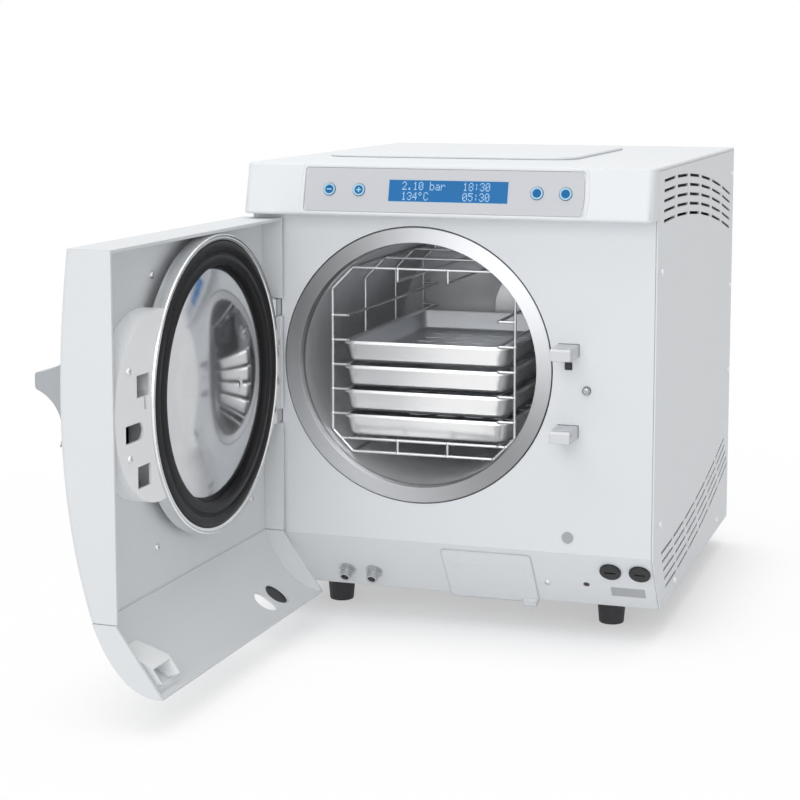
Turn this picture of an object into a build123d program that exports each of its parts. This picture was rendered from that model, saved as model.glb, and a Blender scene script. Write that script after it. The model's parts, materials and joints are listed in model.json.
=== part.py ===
from build123d import *
import os
from math import atan2, cos, hypot, sin, sqrt, tan

os.makedirs("parts", exist_ok=True)

# Bench-top steam steriliser. Millimetres, +Z up, X to the right, the front panel stands in the plane Y = 0
# and the feet stand on Z = 0. The door is drawn closed and then turned to its fully open place.

# Case
case_width = 425
case_height = 484.5
case_depth = 487
foot_height = 32
chin_height = 95
chin_setback = 46
sheet = 2
front_sheet = 3
seam = 0.3
running_gap = 0.05

# Hood over the case, its fascia slopes forward towards the bottom
fascia_top_reach = 15.8
fascia_bottom_reach = 29.8
fascia_height = 51.8
fascia_base = case_height - fascia_height
hood_wall = 3
fascia_corner = 8

# Control panel on the fascia
panel_left = -146.5
panel_right = 143.5
panel_height = 44.5
panel_lift = 5
panel_recess = 1.2
display_width = 124
display_height = 22.5
display_centre = 4.8
display_lift = 27.3
button_radius = 6.2
button_travel = 1
button_proud = 0.8
button_length = button_travel + 4
button_clearance = 0.4
button_places = {"minus": -120, "plus": -88.5, "option": 96, "start": 124.8}

# Chamber
chamber_x = -35
chamber_z = 278.5
chamber_radius = 125
vessel_wall = 3
vessel_length = 350
end_depth = 38
flange_radius = 142
flange_thickness = 12
flange_proud = 1
flange_chamfer = 1.5
insulation_thickness = 15
baffle_radius = 45

# Door, closed: its edges, its lip in front of the panel, and its swing
door_left = -193.8
door_right = 184
door_top = 427.5
door_wall = 3
lip_gap = 3
hinge_inset = 6.8
hinge_depth = 8.5
door_opening = 91.5
seam_height = 98
skirt_bottom = 35.5
skirt_gap = 2.5
liner_recess = 21
liner_sheet = 2.5
crown_top = 46.8
crown_middle = 56.2
crown_middle_height = 300
crown_low = 46
crown_low_height = 166
crown_seam = 30
crown_radius = 5

# Hinge
pin_radius = 2.5
knuckle_radius = 5.5
upper_knuckle = (326, 343)
lower_knuckle = (213, 227)
bracket_gap = 0.7
hinge_block_width = 10

# Door plate, gasket and latch
plate_sheet = 3
plate_radius = 145
dome_radius = 260
gasket_inner = 115
gasket_gap = 0.3
gasket_depth = 8
rim_depth = 14
latch_radius = 88
latch_x = 92
latch_face_gap = 3.5
latch_wall = 2.5
boss_radius = 30

# Hooks and locking slider
hook_x = 124.3
hook_width = 20.5
hook_height = 12
hook_reach = 38.5
hook_heights = (302, 220)
hook_nose = 5
notch_width = 6.5
notch_depth = 6
slider_thickness = 4.5
slider_travel = 24
bolt_travel = 26
slider_play = 0.5
window_play = 2.5
lock_bolt_x = 143
lock_bolt_z = 262
lock_bolt_radius = 4
lock_bolt_proud = 6
switch_x = 124.2
switch_z = 286
switch_size = 7

# Closure handle
handle_left = 118
handle_right = 176
handle_reach = 86
handle_base = 57.2
handle_top = 326
handle_low = 252
handle_foot = 3
handle_rounding = 6
stem_width = 10
stem_height = 18
stem_z = 309
stem_x = 151

# Chin fittings
coupling_x = -106
coupling_pitch = 30
coupling_drop = 53.5
coupling_length = 12
coupling_radius = 7
coupling_bore = 4
fuse_x = 181.6
fuse_pitch = 30
fuse_drop = 22.5
fuse_radius = 11
reset_x = 139
reset_drop = 47
reset_radius = 3
plug_x = 125
plug_z = 111.3
plug_radius = 5.8
filter_left = -10.5
filter_right = 85.5
filter_top = 7.5
filter_bottom = 82
filter_proud = 1.5
filter_depth = 70
filter_box_height = 26
chin_screw = (98, -49)
plate_left = 164
plate_right = 199
plate_drop = 54.5
plate_height = 13

# Rack and trays
wire = 1.5
rack_clearance = 0.45
tray_clearance = 0.3
rack_front = 22
rack_bay = 106
rack_bays = 3
rack_flat = 76
rack_shoulder = 74
rail_offset = 81
tie_offset = 27
tie_drop = 13
rail_pitch = 25.9
tray_width = 180
tray_length = 272
tray_height = 22
tray_wall = 1.2
tray_taper = 14
tray_corner = 14
tray_names = ("tray_1", "tray_2", "tray_3", "tray_4")

# Feet
foot_x = 151
foot_front_y = 97
foot_rear_y = case_depth - 47
foot_top_radius = 15.5
foot_bottom_radius = 12.5

# Tank in the top of the case
tank_left = -172
tank_right = 92
tank_front = 128
tank_rear = case_depth - 89
tank_depth = 40
tank_wall = 2
lid_proud = 2.5

# Worked out from the sizes above
half = case_width / 2
inside = half - sheet - seam
chin_drop = chin_height - foot_height
chin_angle = atan2(chin_setback, chin_drop)
side_top = case_height - hood_wall - seam
fascia_slope = hypot(fascia_bottom_reach - fascia_top_reach, fascia_height)
hinge_x = door_left + hinge_inset
hinge_y = -lip_gap - hinge_depth
hinge_axis = Axis((hinge_x, hinge_y, 0), (0, 0, 1))
door_width = door_right - door_left
flange_face = -flange_proud
gasket_face = flange_face - gasket_gap
gasket_back = gasket_face - gasket_depth
plate_back = gasket_back - plate_sheet
liner_face = -lip_gap - liner_recess
liner_back = liner_face - liner_sheet
latch_face = -latch_face_gap
slider_front = -(hook_reach - hook_nose) + (notch_width + slider_thickness) / 2
slider_back = slider_front - slider_thickness
beam_front = slider_back - 0.4
chamber_axis = Axis((chamber_x, 0, chamber_z), (0, 1, 0))
insulation_inner = chamber_radius + vessel_wall + seam
insulation_outer = insulation_inner + insulation_thickness
base_top = foot_height + front_sheet


def facing_front(y):
    """Sketch plane at depth y with X to the right, Z up, seen from the front."""
    return Plane.XZ.offset(-y)


def fascia_plane(depth):
    """Plane in the sloped fascia, depth below its surface, its Y running up the slope."""
    lower_edge = (0, -fascia_bottom_reach, fascia_base)
    normal = (0, -fascia_height, fascia_bottom_reach - fascia_top_reach)
    return Plane(origin=lower_edge, x_dir=(1, 0, 0), z_dir=normal).offset(-depth)


def chin_plane(depth):
    """Plane in the sloped chin, depth below its surface, from the bend at its top, its Y running up."""
    normal = (0, -cos(chin_angle), -sin(chin_angle))
    return Plane(origin=(0, 0, chin_height), x_dir=(1, 0, 0), z_dir=normal).offset(-depth)


def chin_front(gap, height):
    """Y of the surface that lies a gap in front of the chin, at a height."""
    return (chin_height - height) * tan(chin_angle) - gap / cos(chin_angle)


def chamber_section():
    """Plane through the chamber's axis: first coordinate along Y, second the radius."""
    return Plane(origin=(chamber_x, 0, chamber_z), x_dir=(0, 1, 0), z_dir=(1, 0, 0))


def swung_open(part):
    """Turns a piece of the door from its closed place to the open one."""
    return part.rotate(hinge_axis, -door_opening)


# Side panels with arched vents above and rising vents below
vent_rows = 5
vent_dashes = 6
vent_pitch = 74.3
vent_dash = 61.5
vent_height = 3
upper_vent_start = 28.7
upper_vent_top = case_height - 13.3
upper_vent_crest = 78
upper_vent_radius = 1800
upper_vent_step = 10
lower_vent_start = 43
lower_vent_base = 91
lower_vent_crest = 40
lower_vent_radius = 1950
lower_vent_step = 10.4
lower_vent_shift = 7
side_screw_rear = case_depth - 13
side_screw_places = (
    (23.4, 380.5),
    (side_screw_rear, case_height - 31.5),
    (side_screw_rear, 318.7),
    (side_screw_rear, 215.7),
    (32.8, 123.5),
    (case_depth - 82, 44.7),
    (124, 42.8),
)
side_screw_hole = 1.6


def arc_height(y, crest, top, radius):
    """Height of a vent's arc over Y; a negative radius bends upwards."""
    reach = sqrt(radius**2 - (y - crest) ** 2)
    return top - abs(radius) + reach if radius > 0 else top + abs(radius) - reach


def vent_slots():
    """All vent slots of one side, as faces in the current side sketch."""
    for row in range(vent_rows):
        for dash in range(vent_dashes):
            upper_y = upper_vent_start + dash * vent_pitch
            upper_z = upper_vent_top - row * upper_vent_step
            lower_y = lower_vent_start + row * lower_vent_shift + dash * (vent_pitch - 5)
            lower_z = lower_vent_base - row * lower_vent_step
            runs = (
                (upper_y, upper_vent_crest, upper_z, upper_vent_radius),
                (lower_y, lower_vent_crest, lower_z, -lower_vent_radius),
            )
            for start, crest, top, radius in runs:
                end = start + vent_dash
                a = arc_height(start, crest, top, radius)
                b = arc_height(end, crest, top, radius)
                h = vent_height / 2
                Polygon((start, a - h), (end, b - h), (end, b + h), (start, a + h), align=None)


def side_panel(side):
    """Sheet side of the case; side is 1 on the right and -1 on the left."""
    plane = Plane.YZ.offset(side * half)
    with BuildPart() as panel:
        with BuildSketch(plane):
            Polygon(
                (0, chin_height),
                (0, side_top),
                (case_depth, side_top),
                (case_depth, foot_height),
                (chin_setback, foot_height),
                align=None,
            )
        extrude(amount=-side * sheet)
        with BuildSketch(plane):
            vent_slots()
            with Locations(*side_screw_places):
                Circle(side_screw_hole)
        extrude(amount=-side * sheet, mode=Mode.SUBTRACT)
    return panel


side_panel_right = side_panel(1)
side_panel_right.part.label = "side_panel_right"
export_step(side_panel_right.part, "parts/side_panel_right.step")

side_panel_left = side_panel(-1)
side_panel_left.part.label = "side_panel_left"
export_step(side_panel_left.part, "parts/side_panel_left.step")

# Screws of both side panels and the one in the chin
screw_head = 3.6
screw_height = 1.8

with BuildPart() as casing_screws:
    for side in (1, -1):
        with BuildSketch(Plane.YZ.offset(side * half)):
            with Locations(*side_screw_places):
                Circle(screw_head)
        extrude(amount=side * screw_height, taper=20)
        with BuildSketch(Plane.YZ.offset(side * half)):
            with Locations(*side_screw_places):
                Circle(side_screw_hole - running_gap)
        extrude(amount=-side * sheet)
    with BuildSketch(chin_plane(0)):
        with Locations(chin_screw):
            Circle(screw_head)
    extrude(amount=screw_height, taper=20)
casing_screws.part.label = "casing_screws"
export_step(casing_screws.part, "parts/casing_screws.step")

# Front panel, one sheet bent back at the chin
hook_slot_play = 1
switch_hole_play = 0.5
front_top = side_top
chin_bend = tan(chin_angle / 2)

with BuildPart() as front_panel:
    with BuildSketch(Plane.YZ.offset(-inside)):
        Polygon(
            (0, front_top),
            (0, chin_height),
            (chin_setback, foot_height),
            (chin_setback + front_sheet / cos(chin_angle), foot_height),
            (front_sheet, chin_height + front_sheet * chin_bend),
            (front_sheet, front_top),
            align=None,
        )
    extrude(amount=2 * inside)
    with BuildSketch(facing_front(0)):
        with Locations((chamber_x, chamber_z)):
            Circle(flange_radius + 1.2)
        for z in hook_heights:
            with Locations((hook_x, z)):
                Rectangle(hook_width + hook_slot_play, hook_height + hook_slot_play)
        with Locations((lock_bolt_x, lock_bolt_z)):
            Circle(lock_bolt_radius + 0.3)
        with Locations((switch_x, switch_z)):
            Rectangle(switch_size + switch_hole_play, switch_size + switch_hole_play)
        with Locations((plug_x, plug_z)):
            Circle(plug_radius - 1.2)
        for low, high in (lower_knuckle, upper_knuckle):
            with Locations((hinge_x, (low + high) / 2)):
                Rectangle(2 * knuckle_radius, high - low + 1)
        # Opening for the wiring of the controls
        with Locations((120, fascia_base + fascia_slope / 2)):
            Rectangle(40, 20)
    extrude(amount=-2 * front_sheet, mode=Mode.SUBTRACT)
    with BuildSketch(chin_plane(0)):
        with Locations(*((coupling_x + k * coupling_pitch / 2, -coupling_drop) for k in (-1, 1))):
            Circle(coupling_radius - 1.5)
        with Locations(*((fuse_x + k * fuse_pitch / 2, -fuse_drop) for k in (-1, 1))):
            Circle(fuse_radius - 3)
        with Locations((reset_x, -reset_drop)):
            Circle(reset_radius + 0.3)
    extrude(amount=-2 * front_sheet, mode=Mode.SUBTRACT)
    # Mouth of the intake filter
    with BuildSketch(facing_front(0)):
        with Locations(((filter_left + filter_right) / 2, foot_height + chin_drop * 0.46)):
            Rectangle(filter_right - filter_left - 14, filter_box_height + 2)
    extrude(amount=-chin_setback - 10, mode=Mode.SUBTRACT)
front_panel.part.label = "front_panel"
export_step(front_panel.part, "parts/front_panel.step")

# Hood: fascia and roof in one moulding, hollow behind the fascia
with BuildPart() as hood:
    with BuildSketch(Plane.YZ.offset(-half)):
        Polygon(
            (-fascia_top_reach, case_height),
            (-fascia_bottom_reach, fascia_base),
            (-seam, fascia_base),
            (-seam, case_height),
            align=None,
        )
    extrude(amount=case_width)
    front_edges = hood.edges().filter_by(lambda e: e.center().Y < -fascia_top_reach)
    slanted = front_edges.filter_by(lambda e: abs(abs(e.center().X) - half) < 1)
    fillet(slanted, fascia_corner)
    front_rim = hood.edges().filter_by(Axis.X).filter_by(lambda e: e.center().Y < -fascia_top_reach + 1)
    fillet(front_rim, hood_wall - 0.6)
    with BuildSketch(Plane.YZ.offset(-half + hood_wall)):
        Polygon(
            (-fascia_top_reach + hood_wall, case_height - hood_wall),
            (-fascia_bottom_reach + hood_wall, fascia_base + hood_wall),
            (0, fascia_base + hood_wall),
            (0, case_height - hood_wall),
            align=None,
        )
    extrude(amount=case_width - 2 * hood_wall, mode=Mode.SUBTRACT)
    # Roof
    with BuildSketch(Plane.XY.offset(case_height - hood_wall)):
        with Locations((0, (case_depth - seam) / 2)):
            Rectangle(case_width, case_depth + seam)
        with Locations(((tank_left + tank_right) / 2, (tank_front + tank_rear) / 2)):
            RectangleRounded(tank_right - tank_left, tank_rear - tank_front, 24, mode=Mode.SUBTRACT)
    extrude(amount=hood_wall)
    roof_edges = hood.edges().filter_by(Axis.Y).group_by(Axis.Z)[-1]
    roof_rim = roof_edges.filter_by(lambda e: e.length > 0.8 * case_depth)
    fillet(roof_rim, 2)
    # Bed of the control panel, its window and its button holes
    with BuildSketch(fascia_plane(0)):
        with Locations(((panel_left + panel_right) / 2, panel_lift + panel_height / 2)):
            RectangleRounded(panel_right - panel_left + 0.6, panel_height + 0.6, 3)
    extrude(amount=-panel_recess, mode=Mode.SUBTRACT)
    with BuildSketch(fascia_plane(0)):
        with Locations(*((x, display_lift) for x in button_places.values())):
            Circle(button_radius + button_clearance)
        with Locations((display_centre, display_lift)):
            Rectangle(display_width - 6, display_height - 6)
    extrude(amount=-2 * hood_wall, mode=Mode.SUBTRACT)
hood.part.label = "hood"
export_step(hood.part, "parts/hood.step")

# Grey panel of the controls, let into the fascia, its ends slightly bowed
panel_bow = 3
with BuildPart() as control_panel:
    with BuildSketch(fascia_plane(panel_recess)):
        low = panel_lift
        high = panel_lift + panel_height
        left = panel_left + panel_bow
        right = panel_right - panel_bow
        with BuildLine():
            Line((left, low), (right, low))
            ThreePointArc((right, low), (panel_right, (low + high) / 2), (right, high))
            Line((right, high), (left, high))
            ThreePointArc((left, high), (panel_left, (low + high) / 2), (left, low))
        make_face()
        with Locations(*((x, display_lift) for x in button_places.values())):
            Circle(button_radius + button_clearance, mode=Mode.SUBTRACT)
        with Locations((display_centre, display_lift)):
            Rectangle(display_width, display_height, mode=Mode.SUBTRACT)
    extrude(amount=panel_recess - 0.2)
control_panel.part.label = "control_panel"
export_step(control_panel.part, "parts/control_panel.step")

with BuildPart() as display_window:
    with BuildSketch(fascia_plane(panel_recess)):
        with Locations((display_centre, display_lift)):
            Rectangle(display_width - 0.2, display_height - 0.2)
    extrude(amount=panel_recess - 0.5)
display_window.part.label = "display_window"
export_step(display_window.part, "parts/display_window.step")

# Push buttons
for name, x in button_places.items():
    with BuildPart() as button:
        with BuildSketch(fascia_plane(button_length - button_proud)):
            with Locations((x, display_lift)):
                Circle(button_radius)
        extrude(amount=button_length)
        cap_edge = button.edges().filter_by(GeomType.CIRCLE).sort_by(Axis.Y)[0]
        fillet(cap_edge, 0.5)
    button.part.label = f"button_{name}"
    export_step(button.part, f"parts/button_{name}.step")

# Water tank under the roof and its lift-off lid
tank_size = (tank_right - tank_left, tank_rear - tank_front)
tank_centre = ((tank_left + tank_right) / 2, (tank_front + tank_rear) / 2)
tank_top = case_height - hood_wall - seam
with BuildPart() as water_tank:
    with BuildSketch(Plane.XY.offset(tank_top - tank_depth)):
        with Locations(tank_centre):
            RectangleRounded(tank_size[0] + 2 * tank_wall, tank_size[1] + 2 * tank_wall, 25)
    extrude(amount=tank_depth)
    with BuildSketch(Plane.XY.offset(tank_top - tank_depth + tank_wall)):
        for k in (-1, 1):
            with Locations((tank_centre[0] + k * (tank_size[0] + tank_wall) / 4, tank_centre[1])):
                RectangleRounded((tank_size[0] - tank_wall) / 2, tank_size[1], 20)
    extrude(amount=tank_depth, mode=Mode.SUBTRACT)
water_tank.part.label = "water_tank"
export_step(water_tank.part, "parts/water_tank.step")

with BuildPart() as tank_lid:
    with BuildSketch(Plane.XY.offset(case_height + seam)):
        with Locations(tank_centre):
            RectangleRounded(tank_size[0] + 14, tank_size[1] + 14, 30)
    extrude(amount=lid_proud)
    lid_rim = tank_lid.edges().group_by(Axis.Z)[-1]
    fillet(lid_rim, lid_proud - 0.5)
    with BuildSketch(Plane.XY.offset(case_height + seam)):
        with Locations(tank_centre):
            RectangleRounded(tank_size[0] - 1, tank_size[1] - 1, 23.5)
            RectangleRounded(tank_size[0] - 6, tank_size[1] - 6, 21, mode=Mode.SUBTRACT)
    extrude(amount=-hood_wall)
tank_lid.part.label = "tank_lid"
export_step(tank_lid.part, "parts/tank_lid.step")

# Rear panel with the fan's grille, the mains inlet and the exhaust
fan_x = 140
fan_z = 360
fan_size = 92
fan_depth = 25
grille_slots = 9
inlet_x = 150
inlet_z = 80
inlet_size = (28, 20)
switch_offset = 34
rocker_size = (12, 20)
rocker_x = inlet_x - switch_offset
inlet_depth = 26
socket_depth = 13
exhaust_x = -150
exhaust_z = 70
exhaust_radius = 5
rear_inner = case_depth - sheet
rocker_pivot = case_depth - 6

with BuildPart() as rear_panel:
    with BuildSketch(facing_front(rear_inner)):
        with Locations((0, (foot_height + side_top) / 2)):
            Rectangle(2 * inside, side_top - foot_height)
        with Locations((inlet_x, inlet_z)):
            Rectangle(*inlet_size, mode=Mode.SUBTRACT)
        with Locations((inlet_x - switch_offset, inlet_z)):
            Rectangle(rocker_size[0] + 4, rocker_size[1] + 4, mode=Mode.SUBTRACT)
        with Locations((exhaust_x, exhaust_z)):
            Circle(exhaust_radius + 0.2, mode=Mode.SUBTRACT)
        pitch = (fan_size - 8) / grille_slots
        for k in range(grille_slots):
            offset_z = (k - (grille_slots - 1) / 2) * pitch
            chord = 2 * sqrt((fan_size / 2 - 3) ** 2 - offset_z**2)
            with Locations((fan_x, fan_z + offset_z)):
                Rectangle(chord, pitch / 2, mode=Mode.SUBTRACT)
    extrude(amount=-sheet)
rear_panel.part.label = "rear_panel"
export_step(rear_panel.part, "parts/rear_panel.step")

# Base plate with the two saddles of the chamber welded on it
saddle_places = (150, 290)
saddle_half = 100
saddle_height = 120
base_front = chin_setback + front_sheet / cos(chin_angle) + seam
with BuildPart() as base_plate:
    with BuildSketch(Plane.XY.offset(foot_height)):
        with Locations((0, (base_front + rear_inner - seam) / 2)):
            Rectangle(2 * inside, rear_inner - seam - base_front)
        with Locations(*((x, y) for x in (-foot_x, foot_x) for y in (foot_front_y, foot_rear_y))):
            Circle(3.2, mode=Mode.SUBTRACT)
    extrude(amount=front_sheet)
    for y in saddle_places:
        with BuildSketch(facing_front(y)):
            with Locations((chamber_x, base_top + saddle_height / 2)):
                Rectangle(2 * saddle_half, saddle_height)
            with Locations((chamber_x, chamber_z)):
                Circle(insulation_outer + seam, mode=Mode.SUBTRACT)
        extrude(amount=-10)
base_plate.part.label = "base_plate"
export_step(base_plate.part, "parts/base_plate.step")

# Rubber feet with their studs
with BuildPart() as feet:
    with Locations(*((x, y, 0) for x in (-foot_x, foot_x) for y in (foot_front_y, foot_rear_y))):
        standing = (Align.CENTER, Align.CENTER, Align.MIN)
        Cone(foot_bottom_radius, foot_top_radius, foot_height, align=standing)
        Cylinder(3, foot_height + front_sheet + 3, align=standing)
feet.part.label = "feet"
export_step(feet.part, "parts/feet.step")

# Chamber: flange ring, vessel with a dished end, insulation round it
with BuildPart() as chamber_flange:
    with BuildSketch(chamber_section()):
        Polygon(
            (flange_face, chamber_radius + flange_chamfer),
            (flange_face, flange_radius - 0.5),
            (flange_face + 0.5, flange_radius),
            (flange_face + flange_thickness, flange_radius),
            (flange_face + flange_thickness, chamber_radius),
            (flange_face + 4 * flange_chamfer, chamber_radius),
            align=None,
        )
    revolve(axis=chamber_axis)
chamber_flange.part.label = "chamber_flange"
export_step(chamber_flange.part, "parts/chamber_flange.step")

vessel_start = flange_face + flange_thickness
port_radius = 11
port_length = 14
with BuildPart() as pressure_vessel:
    outer = chamber_radius + vessel_wall
    with BuildSketch(chamber_section()):
        with BuildLine():
            Polyline(
                (vessel_length, chamber_radius),
                (vessel_start, chamber_radius),
                (vessel_start, outer),
                (vessel_length, outer),
            )
            outer_end = vessel_length + end_depth
            shoulder = vessel_length + end_depth * 0.75
            ThreePointArc((vessel_length, outer), (shoulder, outer * 0.56), (outer_end, 0))
            Line((outer_end, 0), (outer_end - vessel_wall, 0))
            ThreePointArc(
                (outer_end - vessel_wall, 0),
                (shoulder - vessel_wall, chamber_radius * 0.56),
                (vessel_length, chamber_radius),
            )
        make_face()
    revolve(axis=chamber_axis)
    # Port at the middle of the end
    with BuildSketch(facing_front(outer_end + port_length)):
        with Locations((chamber_x, chamber_z)):
            Circle(port_radius)
    extrude(amount=port_length + vessel_wall / 2)
    with BuildSketch(facing_front(outer_end + port_length)):
        with Locations((chamber_x, chamber_z)):
            Circle(port_radius / 2)
    extrude(amount=port_length + 2 * vessel_wall, mode=Mode.SUBTRACT)
pressure_vessel.part.label = "pressure_vessel"
export_step(pressure_vessel.part, "parts/pressure_vessel.step")

with BuildPart() as chamber_insulation:
    with BuildSketch(chamber_section()):
        with Locations(((vessel_start + vessel_length) / 2, (insulation_inner + insulation_outer) / 2)):
            Rectangle(vessel_length - vessel_start - 2, insulation_thickness)
    revolve(axis=chamber_axis)
chamber_insulation.part.label = "chamber_insulation"
export_step(chamber_insulation.part, "parts/chamber_insulation.step")

# Round baffle in front of the steam inlet at the back of the chamber
baffle_x = 0
baffle_z = 300
baffle_y = vessel_length - 6
with BuildPart() as steam_baffle:
    with BuildSketch(facing_front(baffle_y)):
        with Locations((baffle_x, baffle_z)):
            Circle(baffle_radius)
    extrude(amount=2)
    fillet(steam_baffle.edges().filter_by(GeomType.CIRCLE).sort_by(Axis.Y)[0], 1)
    with BuildSketch(facing_front(baffle_y)):
        with Locations((chamber_x, chamber_z)):
            Circle(6)
    extrude(amount=-(end_depth - vessel_wall + 6 - 0.3))
steam_baffle.part.label = "steam_baffle"
export_step(steam_baffle.part, "parts/steam_baffle.step")

# Latch hooks, each a block with a notch in its top behind a nose
hook_names = ("latch_hook_upper", "latch_hook_lower")
for name, z in zip(hook_names, hook_heights):
    with BuildPart() as hook:
        with BuildSketch(facing_front(front_sheet + seam)):
            with Locations((hook_x, z)):
                Rectangle(hook_width, hook_height)
        extrude(amount=hook_reach + front_sheet + seam)
        with BuildSketch(Plane.YZ.offset(hook_x - hook_width / 2)):
            notch_y = -hook_reach + hook_nose + notch_width / 2
            with Locations((notch_y, z + (hook_height - notch_depth) / 2)):
                Rectangle(notch_width, notch_depth)
        extrude(amount=hook_width, mode=Mode.SUBTRACT)
        nose = hook.edges().filter_by(Axis.X).group_by(Axis.Y)[0].sort_by(Axis.Z)[-1]
        chamfer(nose, 2)
        with BuildSketch(facing_front(front_sheet + seam)):
            with Locations((hook_x + 3, z)):
                Rectangle(38, hook_height + 12)
        extrude(amount=-5)
    hook.part.label = name
    export_step(hook.part, f"parts/{name}.step")

# Bolt that locks the slider while the chamber is under pressure, and the solenoid that drives it
with BuildPart() as lock_bolt:
    with BuildSketch(facing_front(bolt_travel + 4)):
        with Locations((lock_bolt_x, lock_bolt_z)):
            Circle(lock_bolt_radius)
    extrude(amount=bolt_travel + 4 + lock_bolt_proud)
    fillet(lock_bolt.edges().filter_by(GeomType.CIRCLE).sort_by(Axis.Y)[0], 2)
lock_bolt.part.label = "lock_bolt"
export_step(lock_bolt.part, "parts/lock_bolt.step")

with BuildPart() as lock_solenoid:
    with BuildSketch(facing_front(front_sheet + 8)):
        with Locations((lock_bolt_x + 8, lock_bolt_z)):
            Rectangle(34, 28)
        with Locations((lock_bolt_x, lock_bolt_z)):
            Circle(lock_bolt_radius + running_gap, mode=Mode.SUBTRACT)
    extrude(amount=-45)
lock_solenoid.part.label = "lock_solenoid"
export_step(lock_solenoid.part, "parts/lock_solenoid.step")

# Black window of the sensor that sees the closed door
with BuildPart() as door_sensor:
    with BuildSketch(facing_front(front_sheet + 6)):
        with Locations((switch_x, switch_z)):
            Rectangle(switch_size, switch_size)
    extrude(amount=front_sheet + 6 + 1)
door_sensor.part.label = "door_sensor"
export_step(door_sensor.part, "parts/door_sensor.step")

# Small fittings of the front
with BuildPart() as blanking_plug:
    with BuildSketch(facing_front(0)):
        with Locations((plug_x, plug_z)):
            Circle(plug_radius)
    extrude(amount=1)
    with BuildSketch(facing_front(0)):
        with Locations((plug_x, plug_z)):
            Circle(plug_radius - 1.2)
    extrude(amount=-front_sheet)
blanking_plug.part.label = "blanking_plug"
export_step(blanking_plug.part, "parts/blanking_plug.step")

with BuildPart() as rating_plate:
    with BuildSketch(chin_plane(0)):
        with Locations(((plate_left + plate_right) / 2, -plate_drop)):
            Rectangle(plate_right - plate_left, plate_height)
    extrude(amount=0.4)
rating_plate.part.label = "rating_plate"
export_step(rating_plate.part, "parts/rating_plate.step")

with BuildPart() as reset_button:
    with BuildSketch(chin_plane(front_sheet + 3)):
        with Locations((reset_x, -reset_drop)):
            Circle(reset_radius)
    extrude(amount=front_sheet + 3 - 0.3)
reset_button.part.label = "reset_button"
export_step(reset_button.part, "parts/reset_button.step")

# Fuse caps: a ribbed head with a screwdriver slot, on a holder behind the chin
fuse_names = ("fuse_cap_left", "fuse_cap_right")
for name, k in zip(fuse_names, (-1, 1)):
    place = (fuse_x + k * fuse_pitch / 2, -fuse_drop)
    with BuildPart() as cap:
        with BuildSketch(chin_plane(-seam)):
            with Locations(place):
                Circle(fuse_radius)
        extrude(amount=3 - seam)
        fillet(cap.edges().filter_by(GeomType.CIRCLE).sort_by(Axis.Y)[0], 1)
        with BuildSketch(chin_plane(-3)):
            with Locations(place):
                Rectangle(fuse_radius, 2)
        extrude(amount=-1.5, mode=Mode.SUBTRACT)
        with BuildSketch(chin_plane(0)):
            with Locations(place):
                Circle(fuse_radius - 3.3)
        extrude(amount=-14)
    cap.part.label = name
    export_step(cap.part, f"parts/{name}.step")

# Drain couplings: hexagon on the chin, collar and open nose
for name, k in (("drain_coupling_waste", -1), ("drain_coupling_feed", 1)):
    place = (coupling_x + k * coupling_pitch / 2, -coupling_drop)
    with BuildPart() as coupling:
        with BuildSketch(chin_plane(0)):
            with Locations(place):
                Circle(coupling_radius + 2)
        extrude(amount=1.5)
        with BuildSketch(chin_plane(0)):
            with Locations(place):
                Circle(coupling_radius - 1)
        extrude(amount=coupling_length)
        with BuildSketch(chin_plane(-1.5)):
            with Locations(place):
                RegularPolygon(coupling_radius + 0.6, 6)
        extrude(amount=4.5)
        with BuildSketch(chin_plane(0)):
            with Locations(place):
                Circle(coupling_radius - 1.6)
        extrude(amount=-14)
        with BuildSketch(chin_plane(-coupling_length)):
            with Locations(place):
                Circle(coupling_bore)
        extrude(amount=-coupling_length + 2, mode=Mode.SUBTRACT)
    coupling.part.label = name
    export_step(coupling.part, f"parts/{name}.step")

# Intake filter: a drawer whose front covers the mouth in the chin, with a finger tab, and its mat
tab_width = 16
tab_height = 10
drawer_end = filter_depth + 30
filter_middle = (filter_left + filter_right) / 2
filter_mid_z = foot_height + chin_drop * 0.46
drawer_width = filter_right - filter_left - 16
with BuildPart() as filter_drawer:
    with BuildSketch(facing_front(drawer_end)):
        with Locations((filter_middle, filter_mid_z)):
            Rectangle(drawer_width, filter_box_height)
            Rectangle(drawer_width - 6, filter_box_height - 6, mode=Mode.SUBTRACT)
    extrude(amount=drawer_end)
    with BuildSketch(Plane.YZ.offset(filter_left)):
        Polygon(
            (chin_front(2 * seam, foot_height + 2), foot_height + 2),
            (chin_front(2 * seam, chin_height - 2), chin_height - 2),
            (-60, chin_height - 2),
            (-60, foot_height + 2),
            align=None,
        )
    extrude(amount=filter_right - filter_left, mode=Mode.SUBTRACT)
    with BuildSketch(chin_plane(-seam)):
        with Locations((filter_middle, -(filter_top + filter_bottom) / 2)):
            RectangleRounded(filter_right - filter_left, filter_bottom - filter_top, 5)
    extrude(amount=filter_proud - seam)
    with BuildSketch(chin_plane(-seam)):
        with Locations((filter_right - tab_width / 2 - 2, -filter_bottom + tab_height / 2 - 4)):
            RectangleRounded(tab_width, tab_height, 3)
    extrude(amount=filter_proud + 3, taper=12)
filter_drawer.part.label = "filter_drawer"
export_step(filter_drawer.part, "parts/filter_drawer.step")

mat_thickness = 12
with BuildPart() as filter_mat:
    with BuildSketch(facing_front(drawer_end - 6)):
        with Locations((filter_middle, filter_mid_z)):
            Rectangle(drawer_width - 6 - 2 * seam, filter_box_height - 6 - 2 * seam)
    extrude(amount=mat_thickness)
filter_mat.part.label = "filter_mat"
export_step(filter_mat.part, "parts/filter_mat.step")

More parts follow.
